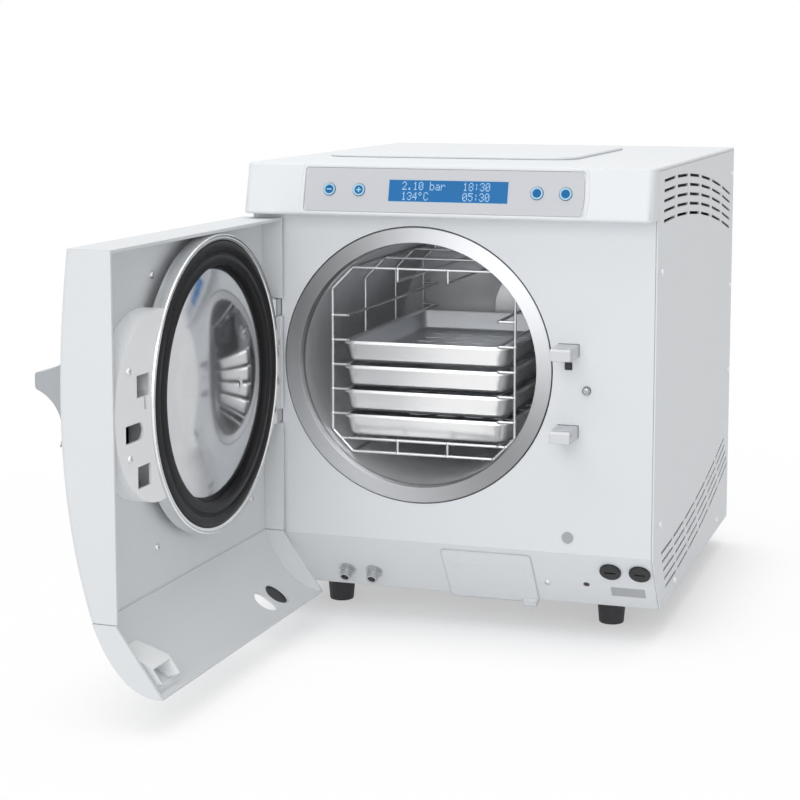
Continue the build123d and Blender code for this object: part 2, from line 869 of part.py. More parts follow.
# Hinge brackets on the case and the pin through them
bracket_plate_depth = 5
with BuildPart() as hinge_brackets:
    for low, high in (lower_knuckle, upper_knuckle):
        with BuildSketch(Plane.XY.offset(low)):
            with Locations((hinge_x, hinge_y)):
                Circle(knuckle_radius)
            with Locations((hinge_x, hinge_y / 2 + (front_sheet + seam) / 2)):
                Rectangle(2 * knuckle_radius - 1, -hinge_y + front_sheet + seam)
            with Locations((hinge_x, hinge_y)):
                Circle(pin_radius + running_gap, mode=Mode.SUBTRACT)
        extrude(amount=high - low)
    with BuildSketch(Plane.XY.offset(lower_knuckle[0] - 8)):
        with Locations((hinge_x - 7, front_sheet + seam + bracket_plate_depth / 2)):
            Rectangle(28, bracket_plate_depth)
    extrude(amount=upper_knuckle[1] - lower_knuckle[0] + 16)
hinge_brackets.part.label = "hinge_brackets"
export_step(hinge_brackets.part, "parts/hinge_brackets.step")

with BuildPart() as hinge_pin:
    with BuildSketch(Plane.XY.offset(lower_knuckle[0] - 1)):
        with Locations((hinge_x, hinge_y)):
            Circle(pin_radius)
    extrude(amount=upper_knuckle[1] - lower_knuckle[0] + 2)
hinge_pin.part.label = "hinge_pin"
export_step(hinge_pin.part, "parts/hinge_pin.step")

# Door, drawn closed. Outer cover: a shell crowned from top to bottom
notch_edge = 2.5
crown = (
    (-crown_seam, seam_height + notch_edge),
    (-crown_low, crown_low_height),
    (-crown_middle, crown_middle_height),
    (-crown_top, door_top),
)


def hinge_notches(depth):
    """Slots in the hinge edge of the door that let the brackets in, to a depth beyond the pin's axis."""
    for low, high in (lower_knuckle, upper_knuckle):
        with Locations((hinge_x, (hinge_y - depth) / 2, (low + high) / 2)):
            Box(2 * hinge_inset + 2, depth - hinge_y, high - low + 2 * bracket_gap, mode=Mode.SUBTRACT)


with BuildPart() as door_cover:
    with BuildSketch(Plane.YZ.offset(door_left)):
        with BuildLine():
            Spline(*crown)
            Polyline(
                crown[-1],
                (-lip_gap, door_top),
                (-lip_gap, seam_height + seam),
                (-crown_seam + notch_edge, seam_height + seam),
                crown[0],
            )
        make_face()
    extrude(amount=door_width)
    ends = door_cover.edges().filter_by(GeomType.BSPLINE)
    fillet(ends, crown_radius)
    with BuildSketch(Plane.YZ.offset(door_left + door_wall)):
        with BuildLine():
            Spline(*((y + door_wall, z) for y, z in crown))
            Polyline(
                (crown[-1][0] + door_wall, door_top),
                (0, door_top),
                (0, seam_height - 5),
                (crown[0][0] + door_wall, seam_height - 5),
                (crown[0][0] + door_wall, crown[0][1]),
            )
        make_face()
        with Locations((-crown_middle / 2, (door_top - door_wall + seam_height - 5) / 2)):
            Rectangle(2 * crown_middle, door_top - door_wall - seam_height + 5, mode=Mode.INTERSECT)
    extrude(amount=door_width - 2 * door_wall, mode=Mode.SUBTRACT)
    # Slot that the handle's stem slides in
    with BuildSketch(facing_front(-crown_middle / 2)):
        with Locations((stem_x, stem_z - slider_travel / 2)):
            Rectangle(stem_width + 2, stem_height + slider_travel + 2)
    extrude(amount=crown_middle, mode=Mode.SUBTRACT)
    hinge_notches(knuckle_radius + bracket_gap)
door_cover.part = swung_open(door_cover.part)
door_cover.part.label = "door_cover"
export_step(door_cover.part, "parts/door_cover.step")

# Skirt: lower part of the door, hollow, following the chin
skirt_lip_end = (chin_front(skirt_gap, skirt_bottom), skirt_bottom)
skirt_curve = (
    (-crown_seam + notch_edge + 1.5, seam_height - notch_edge - 1.5),
    (-10, 64),
    (16.5, 40),
    skirt_lip_end,
)
access_hole_x = -117.8
access_hole_pitch = 28.5
access_hole_drop = 48
access_hole_width = 23
access_hole_length = 26


def skirt_inside(depth):
    """The skirt's curve moved a depth inwards, in the side plane."""
    return [(y + depth * cos(chin_angle), z + depth * sin(chin_angle)) for y, z in skirt_curve]


with BuildPart() as door_skirt:
    with BuildSketch(Plane.YZ.offset(door_left)):
        with BuildLine():
            Spline(*skirt_curve)
            Polyline(
                skirt_lip_end,
                (chin_front(skirt_gap, chin_height), chin_height),
                (-lip_gap, seam_height - seam),
                (-crown_seam + notch_edge, seam_height - seam),
                skirt_curve[0],
            )
        make_face()
    extrude(amount=door_width)
    with BuildSketch(Plane.YZ.offset(door_left + door_wall)):
        inner = skirt_inside(door_wall)
        with BuildLine():
            Spline(*inner)
            Polyline(inner[-1], (60, 60), (20, seam_height + 20), (inner[0][0], seam_height + 20), inner[0])
        make_face()
    extrude(amount=door_width - 2 * door_wall, mode=Mode.SUBTRACT)
    # Oval holes over the drain couplings
    with BuildSketch(chin_plane(0)):
        for k in (-1, 1):
            with Locations((access_hole_x + k * access_hole_pitch / 2, -access_hole_drop)):
                SlotOverall(access_hole_length, access_hole_width, rotation=90)
    extrude(amount=40, mode=Mode.SUBTRACT)
door_skirt.part = swung_open(door_skirt.part)
door_skirt.part.label = "door_skirt"
export_step(door_skirt.part, "parts/door_skirt.step")

# Finger well in the skirt in front of the reset button: a ramp and a mouth at the lip
duct_left = 134
duct_right = 172
duct_wall = 2.5
duct_mouth = (42, 62)
duct_top = chin_height - duct_mouth[0] * cos(chin_angle)
duct_low = chin_height - duct_mouth[1] * cos(chin_angle)
duct_reach = 34
with BuildPart() as access_duct:
    with BuildSketch(Plane.YZ.offset(duct_left)):
        Polygon(
            (chin_front(duct_reach, duct_top + 16), duct_top + 16),
            (chin_front(skirt_gap, duct_top), duct_top),
            (chin_front(skirt_gap, duct_low), duct_low),
            (chin_front(duct_reach, duct_low - 12), duct_low - 12),
            align=None,
        )
    extrude(amount=duct_right - duct_left)
    mouth_corners = access_duct.edges().filter_by(Axis.X, reverse=True).group_by(Axis.Z)[0]
    fillet(mouth_corners, duct_wall)
    with BuildSketch(chin_plane(-skirt_gap)):
        with Locations(((duct_left + duct_right) / 2, -(duct_mouth[0] + duct_mouth[1]) / 2)):
            mouth_width = duct_right - duct_left - 2 * duct_wall
            RectangleRounded(mouth_width, duct_mouth[1] - duct_mouth[0] - 2 * duct_wall, 1)
    extrude(amount=duct_reach, mode=Mode.SUBTRACT)
    with BuildSketch(Plane.YZ.offset(duct_left)):
        inner = skirt_inside(door_wall + seam / 2)
        with BuildLine():
            Spline(*inner)
            Polyline(inner[-1], (60, 60), (20, seam_height + 20), (inner[0][0], seam_height + 20), inner[0])
        make_face()
    extrude(amount=duct_right - duct_left, mode=Mode.INTERSECT)
access_duct.part = swung_open(access_duct.part)
access_duct.part.label = "access_duct"
export_step(access_duct.part, "parts/access_duct.step")

# Liner: the sheet that closes the inside of the door
liner_left = door_left + door_wall + seam
liner_right = door_right - door_wall - seam
liner_bottom = seam_height + 1.5
liner_top = door_top - door_wall - seam
liner_screw_places = ((-156.5, 392), (65, 394), (-156.5, 137.5), (62, 138))
liner_screw_hole = 1.6
hook_window = (hook_width + 2 * window_play, hook_height + 2 * window_play + 3)
with BuildPart() as door_liner:
    with BuildSketch(facing_front(liner_face)):
        with Locations(((liner_left + liner_right) / 2, (liner_bottom + liner_top) / 2)):
            Rectangle(liner_right - liner_left, liner_top - liner_bottom)
        with Locations((chamber_x, chamber_z)):
            Circle(boss_radius + seam, mode=Mode.SUBTRACT)
        with Locations((hook_x, (hook_heights[0] + hook_heights[1]) / 2)):
            window_span = hook_heights[0] - hook_heights[1] + hook_window[1]
            Rectangle(hook_window[0] + 2, window_span, mode=Mode.SUBTRACT)
        with Locations((lock_bolt_x, lock_bolt_z)):
            Rectangle(22, 22, mode=Mode.SUBTRACT)
        with Locations((liner_left + 8, (lower_knuckle[1] + upper_knuckle[0]) / 2)):
            Rectangle(18, upper_knuckle[0] - lower_knuckle[1] + 0.5, mode=Mode.SUBTRACT)
        with Locations(*liner_screw_places):
            Circle(liner_screw_hole, mode=Mode.SUBTRACT)
    extrude(amount=liner_sheet)
    hinge_notches(-liner_back + hinge_y + 2)
door_liner.part = swung_open(door_liner.part)
door_liner.part.label = "door_liner"
export_step(door_liner.part, "parts/door_liner.step")

# Hinge block in the door, bored for the pin
block_low = lower_knuckle[1] + bracket_gap
block_high = upper_knuckle[0] - bracket_gap
block_front = hinge_y + 6
beam_depth = 12
beam_back = beam_front - beam_depth
with BuildPart() as hinge_block:
    with BuildSketch(Plane.XY.offset(block_low)):
        with Locations((liner_left + hinge_block_width / 2, (block_front + beam_back) / 2)):
            Rectangle(hinge_block_width, block_front - beam_back)
        with Locations((hinge_x, hinge_y)):
            Circle(pin_radius + running_gap, mode=Mode.SUBTRACT)
    extrude(amount=block_high - block_low)
hinge_block.part = swung_open(hinge_block.part)
hinge_block.part.label = "hinge_block"
export_step(hinge_block.part, "parts/hinge_block.step")

# Beam from the hinge block to the latch, it takes the pressure on the plate
beam_right = stem_x - stem_width / 2 - 3
beam_low = 240
beam_high = 286
with BuildPart() as door_beam:
    with BuildSketch(facing_front(beam_front)):
        with Locations(((liner_left + hinge_block_width + beam_right) / 2, (beam_low + beam_high) / 2)):
            Rectangle(beam_right - liner_left - hinge_block_width, beam_high - beam_low)
    extrude(amount=beam_depth)
door_beam.part = swung_open(door_beam.part)
door_beam.part.label = "door_beam"
export_step(door_beam.part, "parts/door_beam.step")

# Polished plate: a dome towards the chamber inside a channel for the gasket
dome_edge = gasket_inner
dome_centre = gasket_back - sqrt(dome_radius**2 - dome_edge**2)
dome_inner = dome_radius - plate_sheet
rim_wall = 3.3
with BuildPart() as door_plate:
    with BuildSketch(chamber_section()):
        with BuildLine():
            apex = dome_centre + dome_radius
            middle = 0.5
            ThreePointArc(
                (apex, 0),
                (dome_centre + sqrt(dome_radius**2 - (dome_edge * middle) ** 2), dome_edge * middle),
                (gasket_back, dome_edge),
            )
            Polyline(
                (gasket_back, dome_edge),
                (gasket_back, plate_radius - rim_wall),
                (gasket_face - 0.8, plate_radius - rim_wall),
                (gasket_face - 0.4, plate_radius - rim_wall / 2),
                (gasket_face - 1.4, plate_radius),
                (gasket_face - rim_depth, plate_radius),
                (gasket_face - rim_depth, plate_radius - rim_wall),
                (plate_back, plate_radius - rim_wall),
                (plate_back, dome_edge),
            )
            ThreePointArc(
                (plate_back, dome_edge),
                (dome_centre + sqrt(dome_inner**2 - (dome_edge * middle) ** 2), dome_edge * middle),
                (apex - plate_sheet, 0),
            )
            Line((apex - plate_sheet, 0), (apex, 0))
        make_face()
    revolve(axis=chamber_axis)
    with BuildSketch(facing_front(beam_front)):
        with Locations((chamber_x, chamber_z)):
            Circle(boss_radius)
    extrude(amount=beam_front - dome_centre - dome_inner - plate_sheet / 4)
door_plate.part = swung_open(door_plate.part)
door_plate.part.label = "door_plate"
export_step(door_plate.part, "parts/door_plate.step")

# Silicone gasket with a groove between its two lips
gasket_outer = plate_radius - rim_wall - 0.2
groove = 3
with BuildPart() as door_gasket:
    with BuildSketch(chamber_section()):
        Polygon(
            (gasket_back, gasket_inner + 0.3),
            (gasket_face - 2, gasket_inner + 0.3),
            (gasket_face, gasket_inner + 3),
            (gasket_face, gasket_inner + 9),
            (gasket_face - groove, gasket_inner + 11),
            (gasket_face, gasket_inner + 13),
            (gasket_face, gasket_outer - 2),
            (gasket_face - 2, gasket_outer),
            (gasket_back, gasket_outer),
            align=None,
        )
    revolve(axis=chamber_axis)
door_gasket.part = swung_open(door_gasket.part)
door_gasket.part.label = "door_gasket"
export_step(door_gasket.part, "parts/door_gasket.step")

# Latch housing: a round cap beside the plate with the windows for the hooks
housing_screw_places = ((153, 318), (153, 240))
latch_clear = plate_radius + 0.8


def latch_outline(inset):
    """Crescent of the housing beside the plate, drawn in the current front sketch."""
    with Locations((latch_x, chamber_z)):
        Circle(latch_radius - inset)
    with Locations((chamber_x, chamber_z)):
        Circle(latch_clear + inset, mode=Mode.SUBTRACT)


with BuildPart() as latch_housing:
    with BuildSketch(facing_front(liner_face + 0.05)):
        latch_outline(0)
    extrude(amount=liner_face + 0.05 - latch_face)
    with BuildSketch(facing_front(liner_face)):
        latch_outline(latch_wall)
    extrude(amount=liner_face - latch_face + latch_wall, mode=Mode.SUBTRACT)
    with BuildSketch(facing_front(0)):
        for z in hook_heights:
            with Locations((hook_x + 0.8, z)):
                Rectangle(*hook_window)
        with Locations((switch_x - 2.5, switch_z)):
            Rectangle(4, 12)
        with Locations((lock_bolt_x + 4, lock_bolt_z)):
            Rectangle(26, 16)
        with Locations((lock_bolt_x - 9, lock_bolt_z)):
            Circle(8)
        with Locations(*housing_screw_places):
            Circle(liner_screw_hole)
    extrude(amount=40, mode=Mode.SUBTRACT)
latch_housing.part = swung_open(latch_housing.part)
latch_housing.part.label = "latch_housing"
export_step(latch_housing.part, "parts/latch_housing.step")

# Screws of the liner, the housing and the hinge block
block_screw_places = ((liner_left + 5.3, 298), (liner_left + 5.3, 256.5))
door_screw_groups = (
    (liner_screw_places, liner_face),
    (housing_screw_places, latch_face),
    (block_screw_places, block_front),
)
with BuildPart() as door_screws:
    for places, face in door_screw_groups:
        with BuildSketch(facing_front(face + screw_height)):
            with Locations(*places):
                Circle(screw_head - 0.6)
        extrude(amount=screw_height, taper=-20)
door_screws.part = swung_open(door_screws.part)
door_screws.part.label = "door_screws"
export_step(door_screws.part, "parts/door_screws.step")

# Locking slider: two bars drop into the hooks' notches when it goes down
slider_left = hook_x - hook_width / 2 - 9
slider_right = stem_x + stem_width / 2 + 2
slider_top = stem_z + stem_height / 2 + 14
slider_low = hook_heights[1] - hook_height / 2 - 12
slider_window_width = hook_width + 2.4
with BuildPart() as locking_slider:
    with BuildSketch(facing_front(slider_back)):
        with Locations(((slider_left + slider_right) / 2, (slider_low + slider_top) / 2)):
            Rectangle(slider_right - slider_left, slider_top - slider_low)
        for z in hook_heights:
            bar_low = z + hook_height / 2 - notch_depth + slider_play + slider_travel
            window_low = z - hook_height / 2 - 4
            with Locations((hook_x, (bar_low + window_low) / 2)):
                Rectangle(slider_window_width, bar_low - window_low, mode=Mode.SUBTRACT)
        with Locations((lock_bolt_x, lock_bolt_z + slider_travel)):
            Circle(lock_bolt_radius + 0.6, mode=Mode.SUBTRACT)
    extrude(amount=-slider_thickness)
locking_slider.part = swung_open(locking_slider.part)
locking_slider.part.label = "locking_slider"
export_step(locking_slider.part, "parts/locking_slider.step")

# Closure handle: a grip that flares into the door, with its stem
grip_middle = (handle_left + handle_right) / 2
with BuildPart() as closure_handle:
    with BuildSketch(Plane.YZ.offset(handle_left)):
        with BuildLine():
            Line((-handle_base, handle_low), (-handle_base, handle_top))
            ThreePointArc(
                (-handle_base, handle_top),
                (-handle_base - 11, handle_top - 6.4),
                (-handle_reach + 4, handle_top - 9),
            )
            ThreePointArc(
                (-handle_reach + 4, handle_top - 9),
                (-handle_reach, handle_top - 16),
                (-handle_reach + 4, handle_top - 24),
            )
            ThreePointArc(
                (-handle_reach + 4, handle_top - 24),
                (-handle_base - 9, handle_top - 35),
                (-handle_base - handle_foot, handle_low),
            )
            Line((-handle_base - handle_foot, handle_low), (-handle_base, handle_low))
        make_face()
    extrude(amount=handle_right - handle_left)
    # Seen from above, its two front corners are rounded
    with BuildSketch(Plane.XY.offset(handle_low)):
        with Locations((grip_middle, handle_rounding - (handle_base + handle_reach) / 2)):
            RectangleRounded(
                handle_right - handle_left,
                handle_reach - handle_base + 2 * handle_rounding,
                handle_rounding,
            )
    extrude(amount=handle_top - handle_low, mode=Mode.INTERSECT)
    with BuildSketch(facing_front(-handle_base)):
        with Locations((stem_x, stem_z)):
            Rectangle(stem_width, stem_height)
    extrude(amount=-(handle_base + slider_back))
closure_handle.part = swung_open(closure_handle.part)
closure_handle.part.label = "closure_handle"
export_step(closure_handle.part, "parts/closure_handle.step")

# Wire rack: welded frames with eight corners, joined by rails
corner_radius = chamber_radius - rack_clearance - wire
rack_deep = sqrt(corner_radius**2 - rack_flat**2)
rack_wide = sqrt(corner_radius**2 - rack_shoulder**2)
rack_length = rack_bay * rack_bays
rack_floor = chamber_z - rack_deep
tray_floor = rack_floor + 15
cross_height = tray_floor - wire - rack_floor
rail_heights = [tray_floor + k * rail_pitch for k in range(6)]


def rack_half_width(z):
    """Half width of a rack frame at a height, narrower towards its cut corners."""
    beyond = max(0, abs(z - chamber_z) - rack_shoulder)
    return rack_wide - beyond * (rack_wide - rack_flat) / (rack_deep - rack_shoulder)


frame_corners = [
    (-rack_flat, -rack_deep),
    (rack_flat, -rack_deep),
    (rack_wide, -rack_shoulder),
    (rack_wide, rack_shoulder),
    (rack_flat, rack_deep),
    (-rack_flat, rack_deep),
    (-rack_wide, rack_shoulder),
    (-rack_wide, -rack_shoulder),
]
with BuildPart() as instrument_rack:
    for k in range(rack_bays + 1):
        y = rack_front + k * rack_bay
        frame_plane = facing_front(y).shift_origin((chamber_x, y, chamber_z))
        with BuildLine(frame_plane) as frame_path:
            Polyline(*frame_corners, close=True)
        start = frame_path.wires()[0] @ 0
        with BuildSketch(Plane(origin=start, z_dir=frame_path.wires()[0] % 0)):
            RegularPolygon(wire, 8)
        sweep(path=frame_path.wires()[0], transition=Transition.RIGHT)
    # Rails along both sides and rods along the frame's corners
    with BuildSketch(facing_front(rack_front + rack_length)):
        for side in (-1, 1):
            for z in rail_heights[1:]:
                with Locations((chamber_x + side * rail_offset, z - wire)):
                    RegularPolygon(wire, 8)
            with Locations((chamber_x + side * rail_offset, rail_heights[0] - wire)):
                RegularPolygon(wire, 8)
            with Locations((chamber_x + side * rack_flat, chamber_z + rack_deep)):
                RegularPolygon(wire, 8)
            with Locations((chamber_x + side * rack_flat, chamber_z - rack_deep)):
                RegularPolygon(wire, 8)
            with Locations((chamber_x + side * tie_offset, chamber_z + rack_deep - tie_drop)):
                RegularPolygon(wire, 8)
    extrude(amount=rack_length)
    # Short ties that hold the rails on the front and rear frames
    for y in (rack_front, rack_front + rack_length):
        for z in rail_heights:
            tie = rack_half_width(z - wire) - rail_offset + wire
            for side in (-1, 1):
                with BuildSketch(Plane.YZ.offset(chamber_x + side * (rail_offset - wire))):
                    with Locations((y, z - wire)):
                        RegularPolygon(wire, 8)
                extrude(amount=side * tie)
    # Upright ties hang two rods under the top and carry a cross wire above the bottom
    for y in (rack_front, rack_front + rack_length):
        for foot, height in ((chamber_z + rack_deep - tie_drop, tie_drop), (rack_floor, cross_height)):
            with BuildSketch(Plane.XY.offset(foot)):
                with Locations((chamber_x - tie_offset, y), (chamber_x + tie_offset, y)):
                    RegularPolygon(wire, 8)
            extrude(amount=height)
        with BuildSketch(Plane.YZ.offset(chamber_x - rail_offset)):
            with Locations((y, rack_floor + cross_height)):
                RegularPolygon(wire, 8)
        extrude(amount=2 * rail_offset)
instrument_rack.part.label = "instrument_rack"
export_step(instrument_rack.part, "parts/instrument_rack.step")

# Trays on the rails, pressed from sheet with a rim and a slotted floor
tray_front = rack_front + 4
slot_rows = 4
slot_columns = 7
for level, name in enumerate(tray_names):
    floor = rail_heights[3 - level] + tray_clearance
    with BuildPart() as tray:
        with BuildSketch(Plane.XY.offset(floor)):
            with Locations((chamber_x, tray_front + tray_length / 2)):
                RectangleRounded(tray_width - tray_taper, tray_length - tray_taper, tray_corner - 3)
        with BuildSketch(Plane.XY.offset(floor + tray_height)):
            with Locations((chamber_x, tray_front + tray_length / 2)):
                RectangleRounded(tray_width, tray_length, tray_corner)
        loft()
        with BuildSketch(Plane.XY.offset(floor + tray_wall)):
            with Locations((chamber_x, tray_front + tray_length / 2)):
                floor_width = tray_width - tray_taper - 2 * tray_wall
                floor_length = tray_length - tray_taper - 2 * tray_wall
                RectangleRounded(floor_width, floor_length, tray_corner - 4)
        with BuildSketch(Plane.XY.offset(floor + tray_height)):
            with Locations((chamber_x, tray_front + tray_length / 2)):
                mouth_width = tray_width - 2 * tray_wall
                RectangleRounded(mouth_width, tray_length - 2 * tray_wall, tray_corner - tray_wall)
        loft(mode=Mode.SUBTRACT)
        with BuildSketch(Plane.XY.offset(floor)):
            with Locations((chamber_x, tray_front + tray_length / 2)):
                with GridLocations(32, 31, slot_rows, slot_columns):
                    Rectangle(24, 4)
        extrude(amount=2 * tray_wall, mode=Mode.SUBTRACT)
    tray.part.label = name
    export_step(tray.part, f"parts/{name}.step")

# Machinery in the case
with BuildPart() as vacuum_pump:
    with BuildSketch(Plane.XY.offset(base_top)):
        with Locations((150, 250)):
            RectangleRounded(84, 120, 8)
    extrude(amount=70)
    with BuildSketch(facing_front(310)):
        with Locations((150, base_top + 36)):
            Circle(34)
    extrude(amount=-80)
vacuum_pump.part.label = "vacuum_pump"
export_step(vacuum_pump.part, "parts/vacuum_pump.step")

boiler_place = (-160, case_depth - 103)
with BuildPart() as steam_generator:
    with BuildSketch(Plane.XY.offset(base_top)):
        with Locations(boiler_place):
            Circle(42)
    extrude(amount=6)
    with BuildSketch(Plane.XY.offset(base_top)):
        with Locations(boiler_place):
            Circle(34)
    extrude(amount=150)
    fillet(steam_generator.edges().filter_by(GeomType.CIRCLE).sort_by(Axis.Z)[-1], 10)
steam_generator.part.label = "steam_generator"
export_step(steam_generator.part, "parts/steam_generator.step")

with BuildPart() as cooling_fan:
    with BuildSketch(facing_front(rear_inner)):
        with Locations((fan_x, fan_z)):
            RectangleRounded(fan_size, fan_size, 5)
            Circle(fan_size / 2 - 3, mode=Mode.SUBTRACT)
    extrude(amount=fan_depth)
    with BuildSketch(facing_front(rear_inner - fan_depth + 3)):
        with Locations((fan_x, fan_z)):
            Circle(18)
            Rectangle(fan_size - 2, 5)
            Rectangle(5, fan_size - 2)
            Circle(3 + running_gap, mode=Mode.SUBTRACT)
    extrude(amount=3)
cooling_fan.part.label = "cooling_fan"
export_step(cooling_fan.part, "parts/cooling_fan.step")

blade_count = 7
with BuildPart() as fan_rotor:
    with BuildSketch(facing_front(rear_inner - 2)):
        with Locations((fan_x, fan_z)):
            Circle(17)
    extrude(amount=fan_depth - 6)
    with BuildSketch(facing_front(rear_inner - fan_depth + 4)):
        with Locations((fan_x, fan_z)):
            Circle(3)
    extrude(amount=4)
    with BuildSketch(facing_front(rear_inner - 4)):
        with Locations((fan_x, fan_z)):
            with PolarLocations(0, blade_count):
                Polygon((15, -4), (40, -12), (41, 2), (15, 4), align=None)
    extrude(amount=fan_depth - 12)
fan_rotor.part.label = "fan_rotor"
export_step(fan_rotor.part, "parts/fan_rotor.step")

# Mains inlet with its switch beside it, and the exhaust on the rear
with BuildPart() as power_inlet:
    with BuildSketch(facing_front(case_depth + 2)):
        with Locations((inlet_x - switch_offset / 2, inlet_z)):
            RectangleRounded(inlet_size[0] + switch_offset + 6, inlet_size[1] + 10, 3)
    extrude(amount=2)
    with BuildSketch(facing_front(case_depth)):
        with Locations((inlet_x, inlet_z)):
            Rectangle(inlet_size[0] - 2 * seam, inlet_size[1] - 2 * seam)
    extrude(amount=inlet_depth)
    with BuildSketch(facing_front(case_depth)):
        with Locations((rocker_x, inlet_z)):
            Rectangle(rocker_size[0] + 3, rocker_size[1] + 3)
    extrude(amount=socket_depth + 2)
    with BuildSketch(facing_front(case_depth + 2)):
        with Locations((inlet_x, inlet_z)):
            Rectangle(inlet_size[0] - 4, inlet_size[1] - 4)
    extrude(amount=inlet_depth - 6, mode=Mode.SUBTRACT)
    with BuildSketch(facing_front(case_depth + 2)):
        with Locations((rocker_x, inlet_z)):
            Rectangle(rocker_size[0] + 2 * seam, rocker_size[1] + 2 * seam)
    extrude(amount=socket_depth + 2, mode=Mode.SUBTRACT)
    with BuildSketch(facing_front(case_depth - inlet_depth + 8)):
        with Locations((inlet_x - 7, inlet_z), (inlet_x, inlet_z + 3), (inlet_x + 7, inlet_z)):
            Rectangle(2, 4)
    extrude(amount=-14)
power_inlet.part.label = "power_inlet"
export_step(power_inlet.part, "parts/power_inlet.step")

# Rocker of the mains switch, pressed to its lower side
rocker_tilt = 8
rocker_half = rocker_size[1] / 2 - 1.8
with BuildPart() as power_switch:
    with BuildSketch(Plane.YZ.offset(rocker_x - rocker_size[0] / 2)):
        Polygon(
            (rocker_pivot - 4, inlet_z - rocker_half),
            (case_depth + 3.5, inlet_z - rocker_half),
            (case_depth + 2.2, inlet_z),
            (case_depth + 3.5, inlet_z + rocker_half),
            (rocker_pivot - 4, inlet_z + rocker_half),
            align=None,
        )
    extrude(amount=rocker_size[0])
rocker_axis = Axis((rocker_x, rocker_pivot, inlet_z), (1, 0, 0))
power_switch.part = power_switch.part.rotate(rocker_axis, -rocker_tilt)
power_switch.part.label = "power_switch"
export_step(power_switch.part, "parts/power_switch.step")

with BuildPart() as exhaust_nozzle:
    with BuildSketch(facing_front(case_depth + 20)):
        with Locations((exhaust_x, exhaust_z)):
            Circle(exhaust_radius)
            Circle(exhaust_radius - 2, mode=Mode.SUBTRACT)
    extrude(amount=40)
    with BuildSketch(facing_front(case_depth + 4)):
        with Locations((exhaust_x, exhaust_z)):
            RegularPolygon(exhaust_radius + 4, 6)
            Circle(exhaust_radius - 2, mode=Mode.SUBTRACT)
    extrude(amount=4)
exhaust_nozzle.part.label = "exhaust_nozzle"
export_step(exhaust_nozzle.part, "parts/exhaust_nozzle.step")
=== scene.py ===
"""Bench-top steam steriliser with its door open: finishes, fine pieces, studio and camera."""

import json
import math

import bmesh
import bpy
import numpy as np
from mathutils import Euler, Matrix, Vector


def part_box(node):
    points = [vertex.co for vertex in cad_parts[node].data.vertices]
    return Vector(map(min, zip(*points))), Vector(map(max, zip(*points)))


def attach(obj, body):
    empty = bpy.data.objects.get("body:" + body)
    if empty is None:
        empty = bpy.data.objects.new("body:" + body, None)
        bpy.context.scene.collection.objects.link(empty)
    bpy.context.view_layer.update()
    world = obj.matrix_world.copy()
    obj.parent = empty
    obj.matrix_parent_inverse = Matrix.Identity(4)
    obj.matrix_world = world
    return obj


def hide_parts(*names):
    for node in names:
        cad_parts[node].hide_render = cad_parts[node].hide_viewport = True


bl_info = {
    "name": "Steam steriliser",
    "version": (1, 0, 0),
    "blender": (4, 5, 0),
    "location": "View3D > Sidebar > Steriliser",
    "description": "Finishes and fine pieces of a bench-top steam steriliser over its packed model",
    "category": "Object",
}

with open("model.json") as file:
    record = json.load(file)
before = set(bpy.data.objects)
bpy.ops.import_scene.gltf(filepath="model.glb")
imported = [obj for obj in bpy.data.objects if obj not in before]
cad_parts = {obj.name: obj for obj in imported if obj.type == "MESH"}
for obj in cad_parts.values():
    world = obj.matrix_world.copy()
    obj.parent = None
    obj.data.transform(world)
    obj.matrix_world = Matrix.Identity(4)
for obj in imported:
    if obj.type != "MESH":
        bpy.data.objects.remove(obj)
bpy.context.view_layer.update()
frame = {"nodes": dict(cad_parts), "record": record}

MM = 0.001
chamber_x, chamber_z, chamber_radius = -35.0, 278.5, 125.0
hinge_x, hinge_y, door_opening = -187.0, -11.5, 91.5


class SteriliserSizes(bpy.types.PropertyGroup):
    """Sizes of the fine pieces."""

    rack_wire: bpy.props.FloatProperty(
        name="Rack wire", description="Radius of the rack's wire", default=0.0015, min=0.0005, max=0.003,
        unit="LENGTH",
    )
    weld_bead: bpy.props.FloatProperty(
        name="Weld bead", description="Radius of the beads where wires of the rack meet", default=0.0019,
        min=0.0, max=0.004, unit="LENGTH",
    )
    tray_sheet: bpy.props.FloatProperty(
        name="Tray sheet", description="Thickness of the pressed trays", default=0.001, min=0.0004, max=0.003,
        unit="LENGTH",
    )
    dot_pitch: bpy.props.FloatProperty(
        name="Display dots", description="Distance between two dots of the display", default=0.00096,
        min=0.0004, max=0.002, unit="LENGTH",
    )


class SteriliserColours(bpy.types.PropertyGroup):
    """Colours of the main finishes."""

    case: bpy.props.FloatVectorProperty(
        name="Case", description="Paint of the case", subtype="COLOR", size=3, min=0, max=1,
        default=(0.80, 0.825, 0.845),
    )
    door: bpy.props.FloatVectorProperty(
        name="Door", description="Moulded shells of the door", subtype="COLOR", size=3, min=0, max=1,
        default=(0.80, 0.82, 0.835),
    )
    controls: bpy.props.FloatVectorProperty(
        name="Control panel", description="Grey of the control panel", subtype="COLOR", size=3, min=0, max=1,
        default=(0.60, 0.61, 0.64),
    )
    display: bpy.props.FloatVectorProperty(
        name="Display", description="Blue of the lit display and the buttons", subtype="COLOR", size=3, min=0,
        max=1, default=(0.012, 0.13, 0.34),
    )
    steel: bpy.props.FloatVectorProperty(
        name="Steel", description="Bare stainless steel", subtype="COLOR", size=3, min=0, max=1,
        default=(0.66, 0.67, 0.69),
    )


